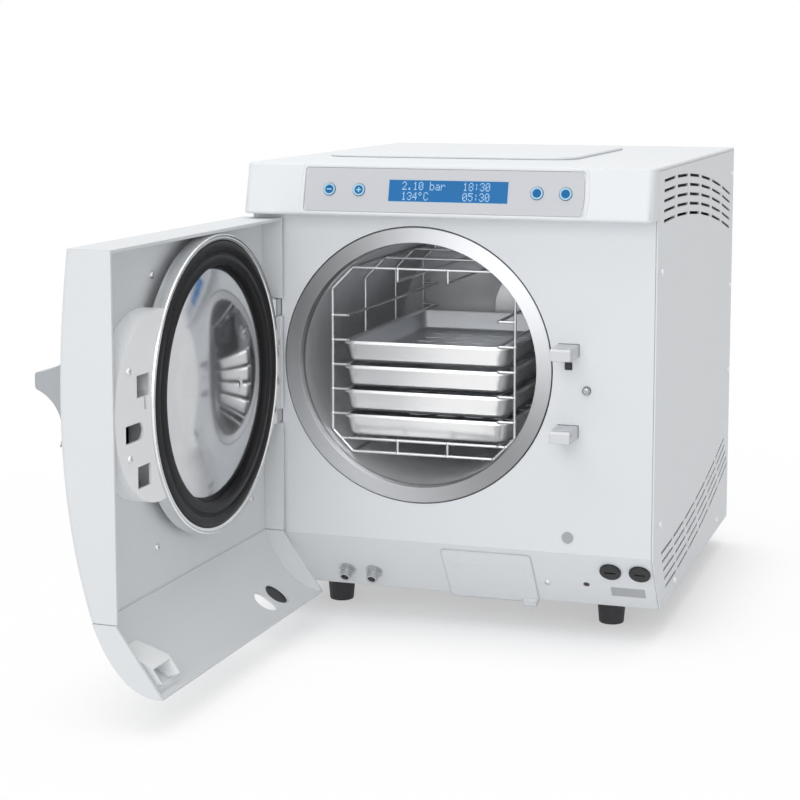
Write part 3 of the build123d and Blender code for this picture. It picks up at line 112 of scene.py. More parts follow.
class Channel:
    """A number, colour or vector that runs through a finish; arithmetic on it adds Math nodes."""

    def __init__(self, finish, socket):
        self.finish = finish
        self.socket = socket

    def math(self, operation, *values, clamp=False):
        settings = {"operation": operation, "use_clamp": clamp}
        return self.finish.node("ShaderNodeMath", settings, dict(enumerate((self, *values))))

    def __add__(self, other):
        return self.math("ADD", other)

    __radd__ = __add__

    def __mul__(self, other):
        return self.math("MULTIPLY", other)

    __rmul__ = __mul__

    def __sub__(self, other):
        return self.math("SUBTRACT", other)

    def __rsub__(self, other):
        return (self * -1) + other

    def __truediv__(self, other):
        return self.math("DIVIDE", other)

    def between(self, low, high):
        """0 below low, 1 above high, smooth in between."""
        inputs = {"Value": self, "From Min": low, "From Max": high}
        return self.finish.node("ShaderNodeMapRange", {"interpolation_type": "SMOOTHSTEP"}, inputs)


class Finish:
    """A material and the nodes that vary over its surface."""

    def __init__(self, name):
        self.material = bpy.data.materials.new(name)
        self.material.use_nodes = True
        self.tree = self.material.node_tree
        self.tree.nodes.clear()
        self.output = self.tree.nodes.new("ShaderNodeOutputMaterial")
        self.place = self.node("ShaderNodeTexCoord", out="Object")

    def node(self, kind, settings=None, inputs=None, out=0):
        """Adds a node: its settings first, then the values or links of its sockets."""
        node = self.tree.nodes.new(kind)
        for key, value in (settings or {}).items():
            if key == "stops":
                while len(node.color_ramp.elements) < len(value):
                    node.color_ramp.elements.new(0.5)
                for element, (position, colour) in zip(node.color_ramp.elements, value):
                    element.position = position
                    element.color = (*colour, 1)
            else:
                setattr(node, key, value)
        for key, value in (inputs or {}).items():
            if isinstance(value, Channel):
                self.tree.links.new(value.socket, node.inputs[key])
            elif isinstance(value, tuple) and node.inputs[key].type == "RGBA":
                node.inputs[key].default_value = (*value, 1)
            else:
                node.inputs[key].default_value = value
        return Channel(self, node.outputs[out])

    def noise(self, scale, detail=2.0, place=None, rough=0.5):
        inputs = {"Vector": place or self.place, "Scale": scale, "Detail": detail, "Roughness": rough}
        return self.node("ShaderNodeTexNoise", None, inputs, out="Fac")

    def stretched(self, factors, centre=(0, 0, 0)):
        """Object coordinates from a centre, scaled along each axis."""
        moved = self.node("ShaderNodeVectorMath", {"operation": "SUBTRACT"}, {0: self.place, 1: centre})
        return self.node("ShaderNodeVectorMath", {"operation": "MULTIPLY"}, {0: moved, 1: factors})

    def round_axis(self, centre):
        """Distance from an axis along Y and depth along it."""
        moved = self.node("ShaderNodeVectorMath", {"operation": "SUBTRACT"}, {0: self.place, 1: centre})
        x = self.node("ShaderNodeSeparateXYZ", None, {0: moved}, out="X")
        y = self.node("ShaderNodeSeparateXYZ", None, {0: moved}, out="Y")
        z = self.node("ShaderNodeSeparateXYZ", None, {0: moved}, out="Z")
        return (x * x + z * z).math("SQRT"), x, y, z

    def blend(self, factor, first, second):
        settings = {"data_type": "RGBA", "clamp_factor": True}
        return self.node("ShaderNodeMix", settings, {0: factor, 6: first, 7: second}, out=2)

    def relief(self, height, distance, strength=1.0, soft_edge=0.0):
        """Bump from a height, over edges that a small radius softens."""
        inputs = {"Height": height, "Distance": distance, "Strength": strength}
        if soft_edge:
            inputs["Normal"] = self.node("ShaderNodeBevel", {"samples": 4}, {"Radius": soft_edge})
        return self.node("ShaderNodeBump", None, inputs, out="Normal")

    def surface(self, **sockets):
        """The Principled shader; constants go straight on its sockets."""
        inputs = {key.replace("_", " "): value for key, value in sockets.items()}
        shader = self.node("ShaderNodeBsdfPrincipled", None, inputs, out="BSDF")
        self.tree.links.new(shader.socket, self.output.inputs["Surface"])
        return self.material


def shade(colour, factor):
    """The same colour, lighter or darker."""
    return tuple(min(1.0, channel * factor) for channel in colour)


def painted(name, colour, grain=900, depth=0.00004, rough=0.36, edge=0.0012):
    """Baked paint on sheet: orange peel, faint cloudiness, edges softened."""
    f = Finish(name)
    cloud = f.noise(5, 3)
    peel = f.noise(grain, 2)
    fine = f.noise(90, 3)
    return f.surface(
        Base_Color=f.blend(cloud, shade(colour, 0.985), shade(colour, 1.012)),
        Roughness=rough + 0.08 * fine,
        Coat_Weight=0.12,
        Coat_Roughness=0.2,
        Normal=f.relief(peel, depth, 0.5, edge),
    )


def moulded(name, colour, grain=2600, depth=0.00003, rough=0.42, edge=0.001, shine=0.5):
    """Moulded plastic with a fine spark-eroded grain."""
    f = Finish(name)
    cloud = f.noise(9, 3)
    inputs = {"Vector": f.place, "Scale": grain}
    grains = f.node("ShaderNodeTexVoronoi", {"feature": "SMOOTH_F1"}, inputs, out="Distance")
    return f.surface(
        Base_Color=f.blend(cloud, shade(colour, 0.975), shade(colour, 1.02)),
        Roughness=rough + 0.1 * f.noise(140, 2),
        Specular_IOR_Level=shine,
        Normal=f.relief(grains + 0.4 * f.noise(grain * 0.4, 1), depth, 0.6, edge),
    )


def turned_steel(name, colour, centre, rough=0.24, lines=2400, depth=0.00001, edge=0.0004, metallic=1.0):
    """Steel turned on a lathe round an axis along Y: fine rings with broken brightness."""
    f = Finish(name)
    radius, x, y, z = f.round_axis(centre)
    turn = z.math("ARCTAN2", x)
    along = f.node("ShaderNodeCombineXYZ", None, {"X": radius * lines, "Y": turn * 3, "Z": y * lines})
    rings = f.noise(1, 2, place=along)
    broad_place = f.node("ShaderNodeCombineXYZ", None, {"X": radius * 90, "Y": turn * 1.2, "Z": y * 60})
    broad = f.noise(1, 2, place=broad_place)
    return f.surface(
        Base_Color=f.blend(broad, shade(colour, 0.9), shade(colour, 1.08)),
        Roughness=rough + 0.12 * rings,
        Metallic=metallic,
        Normal=f.relief(rings, depth, 0.6, edge),
    )


def brushed_steel(name, colour, run=(30, 1400, 1400), rough=0.26, depth=0.000008, edge=0.0004, metallic=1.0):
    """Sheet steel brushed one way."""
    f = Finish(name)
    lines = f.noise(1, 3, place=f.stretched(run))
    smears = f.noise(18, 3)
    return f.surface(
        Base_Color=f.blend(smears, shade(colour, 0.93), shade(colour, 1.06)),
        Roughness=rough + 0.14 * lines,
        Metallic=metallic,
        Normal=f.relief(lines, depth, 0.6, edge),
    )


def flange_steel(name, colour, centre):
    """Turned face of the chamber's flange: painted highlight and shade, two opposite light lobes painted into
    its base colour by angle round the axis, over a fine real ring tone.
    """
    f = Finish(name)
    radius, x, y, z = f.round_axis(centre)
    turn = z.math("ARCTAN2", x) - math.radians(50)
    # Painted highlight and shade: brighter and darker lobes by angle, standing in for the light that the
    # turned rings reflect
    painted_highlight_lobes = 0.5 + 0.38 * (2 * turn).math("COSINE") + 0.12 * turn.math("COSINE")
    along = f.node("ShaderNodeCombineXYZ", None, {"X": radius * 2600, "Y": turn * 2.2, "Z": y * 900})
    rings = f.noise(1, 3, place=along)
    return f.surface(
        Base_Color=f.blend(painted_highlight_lobes * (0.86 + 0.2 * rings), shade(colour, 0.32), shade(colour, 1.3)),
        Roughness=0.34 + 0.12 * rings,
        Metallic=0.75,
        Normal=f.relief(rings, 0.00001, 0.6, 0.0006),
    )


def tray_steel(name, inside, outside):
    """Pressed tray: brushed inside, satin outside; the faces that the attribute marks as outside also get a
    lighter colour, which is painted highlight on the tray fronts.
    """
    f = Finish(name)
    lines = f.noise(1, 3, place=f.stretched((25, 500, 900)))
    marked = f.node("ShaderNodeAttribute", {"attribute_name": "outside"}, out="Fac")
    tone = f.blend(f.noise(18, 3), shade(inside, 0.94), shade(inside, 1.05))
    return f.surface(
        # Painted highlight: the outside faces take the lighter outside colour, the inside faces the darker
        # brushed tone
        Base_Color=f.blend(marked, tone, outside),
        Roughness=0.36 + 0.1 * lines - 0.1 * marked,
        Metallic=1.0 - 0.15 * marked,
        Normal=f.relief(lines, 0.000008, 0.6, 0.0004),
    )


def rubber(name, colour, rough=0.55, shine=0.5):
    """Black rubber with a matt bloom."""
    f = Finish(name)
    bloom = f.noise(60, 4)
    return f.surface(
        Base_Color=f.blend(bloom, colour, shade(colour, 1.7)),
        Roughness=rough + 0.12 * f.noise(400, 2),
        Specular_IOR_Level=shine,
        Normal=f.relief(f.noise(1500, 2), 0.00004, 0.5, 0.0006),
    )


finishes = {}


def keep(maker, name, *values, **settings):
    """Makes a finish and keeps it by its name."""
    finishes[name] = maker(name, *values, **settings)


def make_finishes(colours):
    """All materials; most have the name of the record's slot that they stand for."""
    case, door, steel = tuple(colours.case), tuple(colours.door), tuple(colours.steel)
    axis = (chamber_x * MM, 0, chamber_z * MM)
    keep(painted, "case_paint", case)
    keep(painted, "case_moulding", case, grain=1600, depth=0.00003, rough=0.34, edge=0.003)
    keep(moulded, "door_shell", shade(door, 0.94))
    keep(moulded, "door_liner", shade(door, 0.93), grain=2000, rough=0.38)
    keep(moulded, "latch_white", (0.95, 0.96, 0.965), rough=0.3)
    keep(moulded, "handle_grey", (0.41, 0.43, 0.455), rough=0.4, edge=0.0015)
    keep(moulded, "panel_grey", tuple(colours.controls), grain=3200, rough=0.4, edge=0.0004)
    keep(moulded, "plug_grey", (0.42, 0.44, 0.46))
    keep(moulded, "plastic_black", (0.012, 0.0125, 0.014), rough=0.34, edge=0.0005)
    keep(moulded, "reset_red", (0.05, 0.02, 0.02), rough=0.3)
    keep(moulded, "tank_plastic", (0.75, 0.77, 0.78))
    keep(rubber, "rubber_black", (0.03, 0.03, 0.032))
    keep(rubber, "gasket_black", (0.006, 0.006, 0.007), rough=0.36, shine=0.3)
    keep(turned_steel, "steel_brushed", shade(steel, 0.7), axis, rough=0.3)
    # The flange's base colour carries painted highlight and shade by angle
    keep(flange_steel, "flange_steel", shade(steel, 1.02), axis)
    vessel = (0.95, 0.96, 0.99)
    keep(turned_steel, "steel_vessel", vessel, axis, rough=0.34, lines=900, metallic=0.65)
    keep(turned_steel, "steel_polished", shade(steel, 0.86), axis, rough=0.05, depth=0.000001)
    keep(turned_steel, "rim_steel", (0.90, 0.905, 0.91), axis, rough=0.16, depth=0.000002)
    keep(brushed_steel, "steel_parts", shade(steel, 0.9))
    keep(brushed_steel, "hook_steel", (0.64, 0.65, 0.67), rough=0.42, metallic=0.45, edge=0.0012)
    keep(brushed_steel, "bolt_steel", (0.42, 0.43, 0.44), run=(300, 300, 300), rough=0.22)
    keep(brushed_steel, "dark_steel", (0.05, 0.052, 0.055), rough=0.4)
    keep(brushed_steel, "screw_steel", shade(steel, 1.1), run=(900, 900, 900), rough=0.22)
    keep(brushed_steel, "rack_wire", shade(steel, 1.05), run=(60, 60, 60), rough=0.24)
    # The tray's lighter outside colour is painted highlight
    keep(tray_steel, "tray_metal", (0.90, 0.92, 0.95), (0.99, 0.99, 0.99))
    keep(brushed_steel, "plate_silver", (0.50, 0.51, 0.53), run=(40, 900, 900), rough=0.4)
    keep(brushed_steel, "coupling_metal", (0.55, 0.56, 0.57), run=(700, 700, 700), rough=0.28)
    keep(moulded, "insulation", (0.78, 0.75, 0.66), grain=500, depth=0.0006, rough=0.85)
    keep(brushed_steel, "machinery", (0.45, 0.46, 0.48), rough=0.4)
    keep(lit_glass, "display_blue", tuple(colours.display), glow=0.25)
    keep(moulded, "button_blue", (0.006, 0.14, 0.36), rough=0.36, edge=0.0006, shine=0.2)
    keep(lit_glass, "display_dots", (0.45, 0.68, 0.90), glow=0.12)
    keep(moulded, "button_ring", (0.38, 0.65, 0.82), rough=0.3, edge=0.0)
    keep(moulded, "button_halo", (0.66, 0.71, 0.75), rough=0.3, edge=0.0)
    keep(moulded, "panel_trim", (0.84, 0.855, 0.87), rough=0.3, edge=0.0)


def lit_glass(name, colour, glow=0.1):
    """Lit display under a glossy window, a little brighter in its middle."""
    f = Finish(name)
    middle = f.noise(14, 1)
    tone = f.blend(middle, shade(colour, 0.9), shade(colour, 1.1))
    return f.surface(
        Base_Color=tone,
        Roughness=0.34 + 0.05 * f.noise(200, 2),
        Specular_IOR_Level=0.2,
        Emission_Color=tone,
        Emission_Strength=glow,
    )


def swing_matrix():
    """Turns what is drawn on the closed door to its open place."""
    hinge = Vector((hinge_x * MM, hinge_y * MM, 0))
    turn = Matrix.Rotation(-math.radians(door_opening), 4, "Z")
    return Matrix.Translation(hinge) @ turn @ Matrix.Translation(-hinge)


def piece(name, mesh, finish, body, replaces=(), smooth=40):
    """Puts a finished mesh in the scene and lets it ride on its body."""
    mesh.materials.clear()
    mesh.materials.append(finishes[finish])
    mesh.polygons.foreach_set("use_smooth", [True] * len(mesh.polygons))
    mesh.set_sharp_from_angle(angle=math.radians(smooth))
    mesh.name = name
    obj = bpy.data.objects.new(name, mesh)
    bpy.context.scene.collection.objects.link(obj)
    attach(obj, body)
    if replaces:
        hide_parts(*replaces)
    return obj


def mesh_of(bm, name, swing=False, outward=True):
    """A plain mesh from an edit mesh, in metres."""
    bmesh.ops.remove_doubles(bm, verts=bm.verts, dist=1e-4)
    if outward:
        bmesh.ops.recalc_face_normals(bm, faces=bm.faces)
    bmesh.ops.scale(bm, vec=(MM, MM, MM), verts=bm.verts)
    if swing:
        bmesh.ops.transform(bm, matrix=swing_matrix(), verts=bm.verts)
    mesh = bpy.data.meshes.new(name)
    bm.to_mesh(mesh)
    bm.free()
    return mesh


def applied(name, mesh, *modifiers):
    """The mesh with modifiers applied; each is (type, settings)."""
    holder = bpy.data.objects.new(name + "_draft", mesh)
    bpy.context.scene.collection.objects.link(holder)
    for kind, settings in modifiers:
        modifier = holder.modifiers.new(kind.title(), kind)
        for key, value in settings.items():
            setattr(modifier, key, value)
    result = bpy.data.meshes.new_from_object(holder.evaluated_get(bpy.context.evaluated_depsgraph_get()))
    bpy.data.objects.remove(holder)
    return result


def lathe(bm, profile, x, z, steps=128):
    """A closed profile of (radius, y) turned round an axis along Y."""
    rings = []
    for k in range(steps):
        turn = 2 * math.pi * k / steps
        ring = [bm.verts.new((x + r * math.cos(turn), y, z + r * math.sin(turn))) for r, y in profile]
        rings.append(ring)
    for k in range(steps):
        here, there = rings[k], rings[(k + 1) % steps]
        for i in range(len(profile)):
            j = (i + 1) % len(profile)
            bm.faces.new((here[i], here[j], there[j], there[i]))
    bmesh.ops.remove_doubles(bm, verts=bm.verts, dist=1e-4)
    bmesh.ops.dissolve_degenerate(bm, edges=bm.edges, dist=1e-5)


def growth_tree(name, inputs):
    """An empty Geometry Nodes tree with named inputs; returns it with its two end nodes."""
    tree = bpy.data.node_groups.new(name, "GeometryNodeTree")
    tree.interface.new_socket("Geometry", in_out="INPUT", socket_type="NodeSocketGeometry")
    for label, kind, value in inputs:
        socket = tree.interface.new_socket(label, in_out="INPUT", socket_type=kind)
        if value is not None:
            socket.default_value = value
    tree.interface.new_socket("Geometry", in_out="OUTPUT", socket_type="NodeSocketGeometry")
    return tree, tree.nodes.new("NodeGroupInput"), tree.nodes.new("NodeGroupOutput")


def closing_nodes(tree, geometry, material, output):
    """Realize Instances and Set Material, which end every tree."""
    real = tree.nodes.new("GeometryNodeRealizeInstances")
    coat = tree.nodes.new("GeometryNodeSetMaterial")
    tree.links.new(geometry, real.inputs["Geometry"])
    tree.links.new(real.outputs["Geometry"], coat.inputs["Geometry"])
    tree.links.new(material, coat.inputs["Material"])
    tree.links.new(coat.outputs["Geometry"], output.inputs["Geometry"])


def grown(name, mesh, tree, values):
    """The plain mesh that a tree makes from a mesh."""
    holder = bpy.data.objects.new(name + "_draft", mesh)
    bpy.context.scene.collection.objects.link(holder)
    modifier = holder.modifiers.new("Growth", "NODES")
    modifier.node_group = tree
    for socket in tree.interface.items_tree:
        if socket.in_out == "INPUT" and socket.name in values:
            modifier[socket.identifier] = values[socket.name]
    bpy.context.view_layer.update()
    result = bpy.data.meshes.new_from_object(holder.evaluated_get(bpy.context.evaluated_depsgraph_get()))
    holder.modifiers.remove(modifier)
    bpy.data.objects.remove(holder)
    return result


def wire_tree():
    """Round wire along every edge and a bead on every joint."""
    inputs = (
        ("Wire radius", "NodeSocketFloat", 0.0015),
        ("Bead radius", "NodeSocketFloat", 0.0019),
        ("Material", "NodeSocketMaterial", None),
    )
    tree, start, end = growth_tree("Welded wire", inputs)
    link = tree.links.new
    curve = tree.nodes.new("GeometryNodeMeshToCurve")
    circle = tree.nodes.new("GeometryNodeCurvePrimitiveCircle")
    circle.inputs["Resolution"].default_value = 10
    sweep = tree.nodes.new("GeometryNodeCurveToMesh")
    sweep.inputs["Fill Caps"].default_value = True
    bead = tree.nodes.new("GeometryNodeMeshIcoSphere")
    bead.inputs["Subdivisions"].default_value = 2
    spread = tree.nodes.new("GeometryNodeInstanceOnPoints")
    join = tree.nodes.new("GeometryNodeJoinGeometry")
    link(start.outputs["Geometry"], curve.inputs["Mesh"])
    link(start.outputs["Wire radius"], circle.inputs["Radius"])
    link(curve.outputs["Curve"], sweep.inputs["Curve"])
    link(circle.outputs["Curve"], sweep.inputs["Profile Curve"])
    link(start.outputs["Bead radius"], bead.inputs["Radius"])
    link(start.outputs["Geometry"], spread.inputs["Points"])
    link(bead.outputs["Mesh"], spread.inputs["Instance"])
    link(sweep.outputs["Mesh"], join.inputs["Geometry"])
    link(spread.outputs["Instances"], join.inputs["Geometry"])
    closing_nodes(tree, join.outputs["Geometry"], start.outputs["Material"], end)
    return tree


def seat_tree():
    """One head on every seat, turned to face where the seat's attribute points."""
    inputs = (
        ("Head", "NodeSocketObject", None),
        ("Size", "NodeSocketFloat", 1.0),
        ("Material", "NodeSocketMaterial", None),
    )
    tree, start, end = growth_tree("Heads on seats", inputs)
    link = tree.links.new
    head = tree.nodes.new("GeometryNodeObjectInfo")
    facing = tree.nodes.new("GeometryNodeInputNamedAttribute")
    facing.data_type = "FLOAT_VECTOR"
    facing.inputs["Name"].default_value = "facing"
    turn = tree.nodes.new("FunctionNodeAlignRotationToVector")
    turn.axis = "Z"
    spread = tree.nodes.new("GeometryNodeInstanceOnPoints")
    link(start.outputs["Head"], head.inputs["Object"])
    link(facing.outputs["Attribute"], turn.inputs["Vector"])
    link(start.outputs["Geometry"], spread.inputs["Points"])
    link(head.outputs["Geometry"], spread.inputs["Instance"])
    link(turn.outputs["Rotation"], spread.inputs["Rotation"])
    link(start.outputs["Size"], spread.inputs["Scale"])
    closing_nodes(tree, spread.outputs["Instances"], start.outputs["Material"], end)
    return tree


def dressed(finish, *nodes):
    """Gives CAD nodes that stay their finish."""
    for node in nodes:
        mesh = frame["nodes"][node].data
        if not mesh.materials:
            mesh.materials.append(None)
        for k in range(len(mesh.materials)):
            mesh.materials[k] = finishes[finish]


class STERILISER_OT_finishes(bpy.types.Operator):
    """Make the finishes and give them to the pieces that keep their modelled shape"""

    bl_idname = "steriliser.finishes"
    bl_label = "Finishes"

    def execute(self, context):
        make_finishes(context.scene.steriliser_colours)
        for entry in frame["record"]["subparts"]:
            dressed(entry["material_slot"], entry["node"])
        dressed("steel_vessel", "pressure_vessel", "steam_baffle")
        dressed("flange_steel", "chamber_flange")
        dressed("hook_steel", "latch_hook_upper", "latch_hook_lower")
        dressed("bolt_steel", "lock_bolt")
        dressed("dark_steel", "locking_slider")
        return {"FINISHED"}


def rack_skeleton():
    """Edges of the rack's wires in millimetres: frames, rails, rods and ties."""
    half_wire = 1.5
    reach = chamber_radius - 0.45 - half_wire
    flat, shoulder, rail, tie, drop = 76.0, 74.0, 81.0, 27.0, 13.0
    deep = math.sqrt(reach**2 - flat**2)
    wide = math.sqrt(reach**2 - shoulder**2)
    front, back = 22.0, 340.0
    floor = chamber_z - deep
    first_rail = floor + 15
    runs = []
    corners = [(-flat, -deep), (flat, -deep), (wide, -shoulder), (wide, shoulder)]
    corners += [(-x, -z) for x, z in corners]
    for k in range(4):
        y = front + k * (back - front) / 3
        for (xa, za), (xb, zb) in zip(corners, corners[1:] + corners[:1]):
            runs.append(((chamber_x + xa, y, chamber_z + za), (chamber_x + xb, y, chamber_z + zb)))
    for side in (-1, 1):
        for k in range(6):
            z = first_rail + 25.9 * k - half_wire
            runs.append(((chamber_x + side * rail, front, z), (chamber_x + side * rail, back, z)))
            beyond = max(0.0, abs(z - chamber_z) - shoulder)
            width = wide - beyond * (wide - flat) / (deep - shoulder)
            for y in (front, back):
                runs.append(((chamber_x + side * rail, y, z), (chamber_x + side * width, y, z)))
        for z in (-deep, deep):
            x = chamber_x + side * flat
            runs.append(((x, front, chamber_z + z), (x, back, chamber_z + z)))
        hung = chamber_z + deep - drop
        runs.append(((chamber_x + side * tie, front, hung), (chamber_x + side * tie, back, hung)))
        for y in (front, back):
            runs.append(((chamber_x + side * tie, y, hung), (chamber_x + side * tie, y, hung + drop)))
            x = chamber_x + side * tie
            runs.append(((x, y, floor), (x, y, first_rail - half_wire)))
    for y in (front, back):
        z = first_rail - half_wire
        runs.append(((chamber_x - rail, y, z), (chamber_x + rail, y, z)))
    return runs


class STERILISER_OT_rack(bpy.types.Operator):
    """Weld the wire rack"""

    bl_idname = "steriliser.rack"
    bl_label = "Wire rack"

    def execute(self, context):
        sizes = context.scene.steriliser_sizes
        runs = rack_skeleton()
        points = [Vector(p) * MM for run in runs for p in run]
        skeleton = bpy.data.meshes.new("rack_skeleton")
        skeleton.from_pydata(points, [(2 * k, 2 * k + 1) for k in range(len(runs))], [])
        values = {
            "Wire radius": sizes.rack_wire, "Bead radius": sizes.weld_bead, "Material": finishes["rack_wire"],
        }
        mesh = grown("rack", skeleton, wire_tree(), values)
        piece("instrument_rack_wire", mesh, "rack_wire", "rack", ("instrument_rack",), smooth=50)
        return {"FINISHED"}


def rounded_ring(width, length, corner, z, steps=6):
    """Points of a rounded rectangle round the middle of a tray, in order."""
    points = []
    for k in range(4):
        cx = (width / 2 - corner) * (1 if k in (0, 3) else -1)
        cy = (length / 2 - corner) * (1 if k in (0, 1) else -1)
        for i in range(steps + 1):
            turn = math.pi / 2 * (k + i / steps)
            points.append((cx + corner * math.cos(turn), cy + corner * math.sin(turn), z))
    return points


def tray_mesh(floor, y_middle, sheet):
    """Pressed tray: slotted floor, wall that leans out, rim curled over."""
    width, length, height = 180.0, 272.0, 22.0
    bm = bmesh.new()
    shape = [
        (width - 20, length - 20, 8, 0.0),
        (width - 14.5, length - 14.5, 10, 0.8),
        (width - 11.5, length - 11.5, 11, 3.2),
        (width - 4.6, length - 4.6, 13, height - 1.2),
        (width - 3.2, length - 3.2, 13.6, height),
        (width - 1.0, length - 1.0, 14, height - 0.2),
        (width, length, 14.5, height - 1.4),
        (width, length, 14.5, height - 3.2),
    ]
    rings = []
    for w, l, corner, z in shape:
        loop = rounded_ring(w, l, corner, z)
        rings.append([bm.verts.new((chamber_x + px, y_middle + py, floor + pz)) for px, py, pz in loop])
    for lower, upper in zip(rings, rings[1:]):
        for i in range(len(lower)):
            j = (i + 1) % len(lower)
            bm.faces.new((lower[i], lower[j], upper[j], upper[i]))
    rim = [bm.edges.get((rings[0][i], rings[0][(i + 1) % len(rings[0])])) for i in range(len(rings[0]))]
    slots = []
    slot_reach, slot_radius = 10, 2
    for column in range(4):
        for row in range(7):
            sx = chamber_x + (column - 1.5) * 32
            sy = y_middle + (row - 3) * 31
            loop = []
            for end in (1, -1):
                for i in range(5):
                    turn = math.pi / 2 - math.pi * i / 4 if end == 1 else -math.pi / 2 - math.pi * i / 4
                    across, along = slot_radius * math.cos(turn), slot_radius * math.sin(turn)
                    loop.append(bm.verts.new((sx + end * slot_reach + across, sy + along, floor)))
            slots += [bm.edges.new((loop[i], loop[(i + 1) % len(loop)])) for i in range(len(loop))]
    bmesh.ops.triangle_fill(bm, use_beauty=True, use_dissolve=False, edges=rim + slots)
    mesh = mesh_of(bm, "tray")
    mesh = applied("tray", mesh, ("SOLIDIFY", {"thickness": sheet, "offset": 0.0, "use_even_offset": True}))
    marks = mesh.attributes.new("outside", "FLOAT", "FACE")
    for face in mesh.polygons:
        away = Vector((face.center.x - chamber_x * MM, face.center.y - y_middle * MM, 0)).normalized()
        marks.data[face.index].value = float(face.normal.dot(away) > 0.3 or face.normal.z < -0.5)
    return mesh


class STERILISER_OT_trays(bpy.types.Operator):
    """Press the four trays"""

    bl_idname = "steriliser.trays"
    bl_label = "Trays"

    def execute(self, context):
        sheet = context.scene.steriliser_sizes.tray_sheet
        for k in range(1, 5):
            low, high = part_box(f"tray_{k}")
            floor = low.z / MM + sheet / MM / 2
            mesh = tray_mesh(floor, (low.y + high.y) / 2 / MM, sheet)
            piece(f"tray_{k}_pressed", mesh, "tray_metal", f"tray_{k}_body", (f"tray_{k}",), smooth=55)
        return {"FINISHED"}


def loose_solids(node):
    """Vertices of each solid of a CAD node, as lists of points in metres."""
    bm = bmesh.new()
    bm.from_mesh(frame["nodes"][node].data)
    bmesh.ops.remove_doubles(bm, verts=bm.verts, dist=1e-6)
    left = set(bm.verts)
    solids = []
    for first in bm.verts:
        if first not in left:
            continue
        left.remove(first)
        queue = [first]
        members = []
        while queue:
            vert = queue.pop()
            members.append(vert.co.copy())
            for edge in vert.link_edges:
                other = edge.other_vert(vert)
                if other in left:
                    left.remove(other)
                    queue.append(other)
        solids.append(members)
    bm.free()
    return solids


def flat_direction(points):
    """Unit vector across the thinnest way through a solid."""
    middle = sum(points, Vector()) / len(points)
    spread = np.array([p - middle for p in points])
    directions = np.linalg.eigh(spread.T @ spread)[1]
    return middle, Vector(directions[:, 0])


def screw_head():
    """A low pan head with a hexagon socket, one unit in radius, standing on its seat."""
    bm = bmesh.new()
    steps = 12
    profile = [(1.0, 0.0), (0.99, 0.25), (0.86, 0.5), (0.6, 0.64), (0.46, 0.66), (0.44, 0.62), (0.42, 0.2)]
    rings = []
    for k, (radius, height) in enumerate(profile):
        ring = []
        for i in range(steps):
            turn = 2 * math.pi * i / steps
            hexed = radius * (0.88 if k > 3 and i % 2 else 1.0)
            ring.append(bm.verts.new((hexed * math.cos(turn), hexed * math.sin(turn), height)))
        rings.append(ring)
    for lower, upper in zip(rings, rings[1:]):
        for i in range(steps):
            j = (i + 1) % steps
            bm.faces.new((lower[i], lower[j], upper[j], upper[i]))
    bm.faces.new(rings[-1])
    bm.faces.new(list(reversed(rings[0])))
    mesh = bpy.data.meshes.new("screw_head")
    bm.to_mesh(mesh)
    bm.free()
    return mesh


class STERILISER_OT_screws(bpy.types.Operator):
    """Seat a socket screw in every screw hole of the case and the door"""

    bl_idname = "steriliser.screws"
    bl_label = "Screws"

    def execute(self, context):
        tree = seat_tree()
        head = bpy.data.objects.new("screw_head", screw_head())
        # The heads face away from a point inside the case, or far to the left of the open door
        groups = (("casing_screws", "case", (0, 0.24, 0.24)), ("door_screws", "door", (-9, -0.2, 0.24)))
        for node, body, middle in groups:
            seats, facing = [], []
            for points in loose_solids(node):
                centre, way = flat_direction(points)
                if way.dot(centre - Vector(middle)) < 0:
                    way = -way
                top = max(way.dot(p) for p in points)
                radius = max((p - centre - way * way.dot(p - centre)).length for p in points)
                seats.append(centre + way * (top - way.dot(centre) - 0.66 * radius))
                facing.append(way)
            mesh = bpy.data.meshes.new(node)
            mesh.from_pydata(seats, [], [])
            outwards = mesh.attributes.new("facing", "FLOAT_VECTOR", "POINT")
            outwards.data.foreach_set("vector", [c for w in facing for c in w])
            values = {"Head": head, "Size": radius, "Material": finishes["screw_steel"]}
            made = grown(node, mesh, tree, values)
            piece(node + "_socket", made, "screw_steel", body, (node,), smooth=45)
        bpy.data.objects.remove(head)
        return {"FINISHED"}


FASCIA_FOOT = Vector((0, -29.8, 432.7))
FASCIA_UP = Vector((0, 14.0, 51.8)).normalized()
FASCIA_OUT = Vector((0, -51.8, 14.0)).normalized()


def on_fascia(x, lift, proud=0.0):
    """A point of the sloped fascia in millimetres: across, up the slope, and out of it."""
    return Vector((x, 0, 0)) + FASCIA_FOOT + FASCIA_UP * lift + FASCIA_OUT * proud


def fascia_plane(proud):
    """Turns a drawing in X and Y, in metres, onto the fascia."""
    turn = Matrix((Vector((1, 0, 0)), FASCIA_UP, FASCIA_OUT)).transposed().to_4x4()
    return Matrix.Translation(on_fascia(0, 0, proud) * MM) @ turn


def flat_ring(bm, x, y, inner, outer, steps=40):
    """A flat ring, or a disc where the inner radius is 0."""
    rims = []
    for radius in (inner, outer):
        rims.append([
            bm.verts.new((x + radius * math.cos(t), y + radius * math.sin(t), 0))
            for t in (2 * math.pi * k / steps for k in range(steps))
        ] if radius else [])
    if not inner:
        bm.faces.new(rims[1])
        return
    for i in range(steps):
        j = (i + 1) % steps
        bm.faces.new((rims[0][i], rims[1][i], rims[1][j], rims[0][j]))


def flat_bar(bm, x, y, width, height):
    """A flat upright rectangle."""
    corners = [(-1, -1), (1, -1), (1, 1), (-1, 1)]
    bm.faces.new([bm.verts.new((x + a * width / 2, y + b * height / 2, 0)) for a, b in corners])


